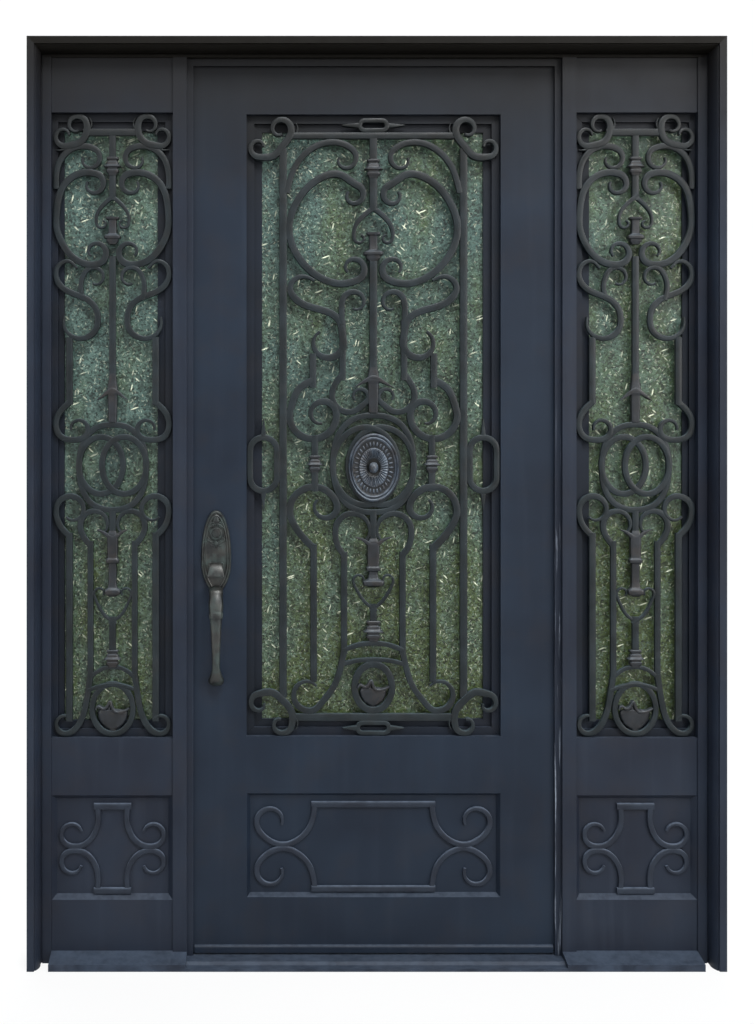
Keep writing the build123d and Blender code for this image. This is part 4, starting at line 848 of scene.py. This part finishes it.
def drawAlong(work, line, halves, depths, square, carve=None, steps=40):
    # sections set square to a line seen from the side
    path = smoothPath(line, 2.5)
    along = np.gradient(path, axis=0)
    along /= np.hypot(*along.T)[:, None]
    share = np.concatenate([[0], np.cumsum(np.hypot(*np.diff(path, axis=0).T))])
    share /= share[-1]
    loops = []
    for (y, z), (dy, dz), part in zip(path, along, share):
        half = np.interp(part, *zip(*halves))
        deep = np.interp(part, *zip(*depths))
        loop = []
        for step in range(steps):
            turn = 2 * pi * step / steps
            grow = carve(part, turn) if carve else 1.0
            across = half * grow * copysign(abs(cos(turn)) ** square, cos(turn))
            out = deep * grow * copysign(abs(sin(turn)) ** square, sin(turn))
            loop.append((work.middleX + across, y + out * dz, z - out * dy))
        loops.append(loop)
    work.skin(loops)


def gripCarving(part, turn):
    # a ridge at the top, a leafed collar under it and a beaded band
    (ridgeFrom, ridgeTo), (leafFrom, leafTo) = handleset["ridge"], handleset["leafed"]
    if part < leafFrom:
        return 1.12 if ridgeFrom < part < ridgeTo else 1.0
    if part < leafTo:
        return 1.0 + 0.07 * abs(cos(4 * turn)) * sin(pi * (part - leafFrom) / (leafTo - leafFrom))
    return 1.09 + 0.03 * cos(14 * turn) if part < handleset["beadedTo"] else 1.0


def drawGrip():
    work = Ironwork(middleX=handleset["x"])
    drawAlong(work, handleset["gripLine"], handleset["gripHalves"], handleset["gripDepths"], 0.75, gripCarving)
    return work


def drawThumbPiece():
    work = Ironwork(middleX=handleset["x"])
    drawAlong(work, handleset["thumbLine"], handleset["thumbHalves"], handleset["thumbDepths"], 0.7)
    # the two scrolled horns at its shoulders, each thinner towards its tip
    horns = handleset["horns"]
    for side in (-1, 1):
        loops = []
        for step in range(14):
            part = step / 13
            turn = radians(horns["from"] + horns["turn"] * part)
            reach = horns["reach"] * (1 - 0.6 * part)
            thick = horns["thick"] - 1.2 * part
            loop = []
            for at in range(10):
                out, deep = reach + thick * cos(2 * pi * at / 10), thick * sin(2 * pi * at / 10)
                loop.append((work.middleX + side * (horns["x"] + out * cos(turn)), horns["y"] - 5 * part + deep,
                             horns["z"] + out * sin(turn)))
            loops.append(loop)
        work.skin(loops)
    return work


makePiece("handle_escutcheon", castPlate(), bronze, "door_leaf", "handle_plate", 35)
makePiece("lock_cylinder", turnLock(), bronze, "door_leaf", "deadbolt_cylinder", 35)
makePiece("bowed_grip", drawGrip(), bronze, "door_leaf", "pull_grip", 50)
makePiece("thumb_piece", drawThumbPiece(), bronze, "thumb_latch", "thumb_latch", 50)

# lever and turn piece inside: roses as pairs of radius and depth, the lever's half heights along its length,
# and the turn piece's depth, half width and half height
insideTrim = {
    "back": 65, "leverZ": 1026, "turnZ": 1141, "leverReach": 118, "leverStart": -10, "leverForward": 43,
    "leverRose": [(32, 0), (32, 4), (30, 6.5), (27, 7.2), (25, 6.4), (22, 6.8), (16, 9), (12, 10), (11, 42), (10, 46),
                  (4, 48)],
    "turnRose": [(28, 0), (28, 4), (26, 7), (22, 8), (20, 7.2), (14, 9.6), (8, 10.4), (6, 12)],
    "leverHalves": [(0, 9), (0.15, 10), (0.6, 9), (0.85, 10), (1, 6)],
    "leverEnds": {0: 0.35, 1: 0.8, 23: 0.8, 24: 0.35},
    "turnGrip": [(6, 3, 8), (12, 4, 14), (18, 4.6, 20), (23, 4.6, 21), (25.5, 3.4, 18), (26, 1.2, 14)]}


def turnRose(z, profile):
    work = Ironwork(middleX=handleset["x"])
    work.turned(z, [(radius, insideTrim["back"] + forward) for radius, forward in profile])
    return work


def drawLever(trim):
    work = turnRose(trim["leverZ"], trim["leverRose"])
    loops = []
    for step in range(25):
        part = step / 24
        half = np.interp(part, *zip(*trim["leverHalves"])) * trim["leverEnds"].get(step, 1)
        bow = sin(pi * part)
        x, z = work.middleX + trim["leverStart"] + trim["leverReach"] * part, trim["leverZ"] - 5 * bow
        depth = trim["back"] + trim["leverForward"] + 3 * bow
        loops.append([(x, depth + 0.55 * half * sin(2 * pi * at / 20), z + half * cos(2 * pi * at / 20))
                      for at in range(20)])
    work.skin(loops)
    return work


def castTurnPiece(trim):
    work = turnRose(trim["turnZ"], trim["turnRose"])
    work.skin([[(work.middleX + wide * cos(2 * pi * at / 28), trim["back"] + forward,
                 trim["turnZ"] + tall * sin(2 * pi * at / 28)) for at in range(28)]
               for forward, wide, tall in trim["turnGrip"]])
    return work


makePiece("lever_inside", drawLever(insideTrim), bronze, "door_leaf", "inside_lever", 45)
makePiece("turn_piece_inside", castTurnPiece(insideTrim), bronze, "door_leaf", "inside_thumb_turn", 45)
print("handles cast")

# screws in the hinge leaves, from each leaf's lower left one: the frame's leaves stand at the lower half of each
# hinge, the door's at the upper half
screws = {"Low": 0.246, "Middle": 1.206, "Top Step": 0.89, "Column Gap": 16 * mm, "Row Gap": 34 * mm,
          "Stagger": 8 * mm, "Head": 3.8 * mm, "Side": 0.511, "Back": 0.0684}
doorScrews = dict(screws, Low=0.312, Middle=1.272, Side=0.465)
for name, body, sizes in (("frame_hinge_screws", "frame", screws), ("door_hinge_screws", "door_leaf", doorScrews)):
    bakeNodes(name, screwedLeaves(name, sizes, hingeSteel), sizes, body, "hinge_steel")
print("hinges screwed")

view = {"place": (-0.3576, -3.375, 1.363), "lens": 44.42, "shiftX": 0.1343, "shiftY": -0.0605, "reach": 60}
camera = bpy.data.objects.new("camera", bpy.data.cameras.new("camera"))
camera.location = view["place"]
camera.rotation_euler = (pi / 2, 0, 0)
camera.data.lens = view["lens"]
camera.data.shift_x, camera.data.shift_y = view["shiftX"], view["shiftY"]
camera.data.clip_end = view["reach"]
bpy.context.scene.collection.objects.link(camera)
bpy.context.scene.camera = camera

studio = {"wide": 26, "near": -9, "far": 7, "high": 9, "bend": 2.5, "shaded": "#fbfbfb", "lit": "#ffffff",
          "toneMm": 900, "held": 0.88, "air": (0.80, 0.90, 1.0, 1), "airLight": 0.3}


def sweepPaper(size):
    outline = [(size["near"], 0.0)]
    for step in range(13):
        turn = pi / 2 * step / 12
        outline.append((size["far"] - size["bend"] * (1 - sin(turn)), size["bend"] * (1 - cos(turn))))
    outline.append((size["far"], size["high"]))
    points = [(side * size["wide"] / 2, y, z) for y, z in outline for side in (-1, 1)]
    faces = [(at, at + 1, at + 3, at + 2) for at in range(0, len(points) - 2, 2)]
    mesh = bpy.data.meshes.new("studioSweep")
    mesh.from_pydata(points, [], faces)
    mesh.shade_smooth()
    paper = bpy.data.objects.new("studioSweep", mesh)
    bpy.context.scene.collection.objects.link(paper)
    return paper


def seenRays(add):
    # 1 for rays that are seen, mirrored or seen through glass, 0 for those that carry light
    ray = add("ShaderNodeLightPath").outputs
    seen = add("ShaderNodeMath", [ray["Is Glossy Ray"], ray["Is Transmission Ray"]], operation="MAXIMUM")
    return add("ShaderNodeMath", [ray["Is Camera Ray"], seen], operation="MAXIMUM")


# matt studio paper, held near white where it is seen or mirrored, which still takes the door's shadow
material, add, place = newMaterial("paleStudioPaper")
tone = add("ShaderNodeTexNoise", {"Vector": place, "Scale": 1000 / studio["toneMm"], "Detail": 3.0})
tone = layOver(add, linear(studio["shaded"]), studio["lit"], tone)
matt = add("ShaderNodeBsdfPrincipled", {"Base Color": tone, "Roughness": 0.9, "Specular IOR Level": 0.1})
glow = add("ShaderNodeEmission", {"Color": tone, "Strength": 1.0})
share = add("ShaderNodeMath", [seenRays(add), studio["held"]], operation="MULTIPLY")
add("ShaderNodeOutputMaterial", [add("ShaderNodeMixShader", [share, matt, glow])])
paper = sweepPaper(studio)
paper.data.materials.append(material)

lamps = {
    "skyLamp": {"place": (1.2, -5.6, 8.0), "target": (0, 0, 1.2), "size": 3.0, "power": 640, "tint": (0.97, 0.99, 1.0)},
    "keyLamp": {"place": (4.8, -4.6, 3.0), "target": (0.4, 0, 0.8), "size": 3.2, "power": 270,
                "tint": (1.0, 0.99, 0.97)},
    "fillLamp": {"place": (-5.0, -4.4, 2.4), "target": (0, 0, 0.8), "size": 3.6, "power": 90,
                 "tint": (0.96, 0.98, 1.0)},
    "backLamp": {"place": (0.5, 4.2, 5.0), "target": (0, 0, 1.0), "size": 3.0, "power": 150, "tint": (1, 1, 1)},
    "paperLamp": {"place": (0, 1.6, 6.5), "target": (0, 7, 1.5), "size": 4.0, "power": 300, "tint": (1, 1, 1)}}
for name, lamp in lamps.items():
    light = bpy.data.lights.new(name, "AREA")
    light.shape, light.size, light.energy, light.color = "SQUARE", lamp["size"], lamp["power"], lamp["tint"]
    holder = bpy.data.objects.new(name, light)
    holder.location = lamp["place"]
    holder.rotation_euler = (Vector(lamp["target"]) - Vector(lamp["place"])).to_track_quat("-Z", "Y").to_euler()
    bpy.context.scene.collection.objects.link(holder)

# soft bluish air for the light, white where it is seen or mirrored
world = bpy.data.worlds.new("studioAir")
bpy.context.scene.world = world
world.use_nodes = True
world.node_tree.nodes.clear()
add = partial(addNode, world.node_tree)
air = add("ShaderNodeBackground", {"Color": studio["air"], "Strength": studio["airLight"]})
white = add("ShaderNodeBackground", {"Color": (1, 1, 1, 1), "Strength": 1.0})
add("ShaderNodeOutputWorld", [add("ShaderNodeMixShader", [seenRays(add), air, white])])
bpy.context.scene.view_settings.view_transform = "Standard"
print("stage set")
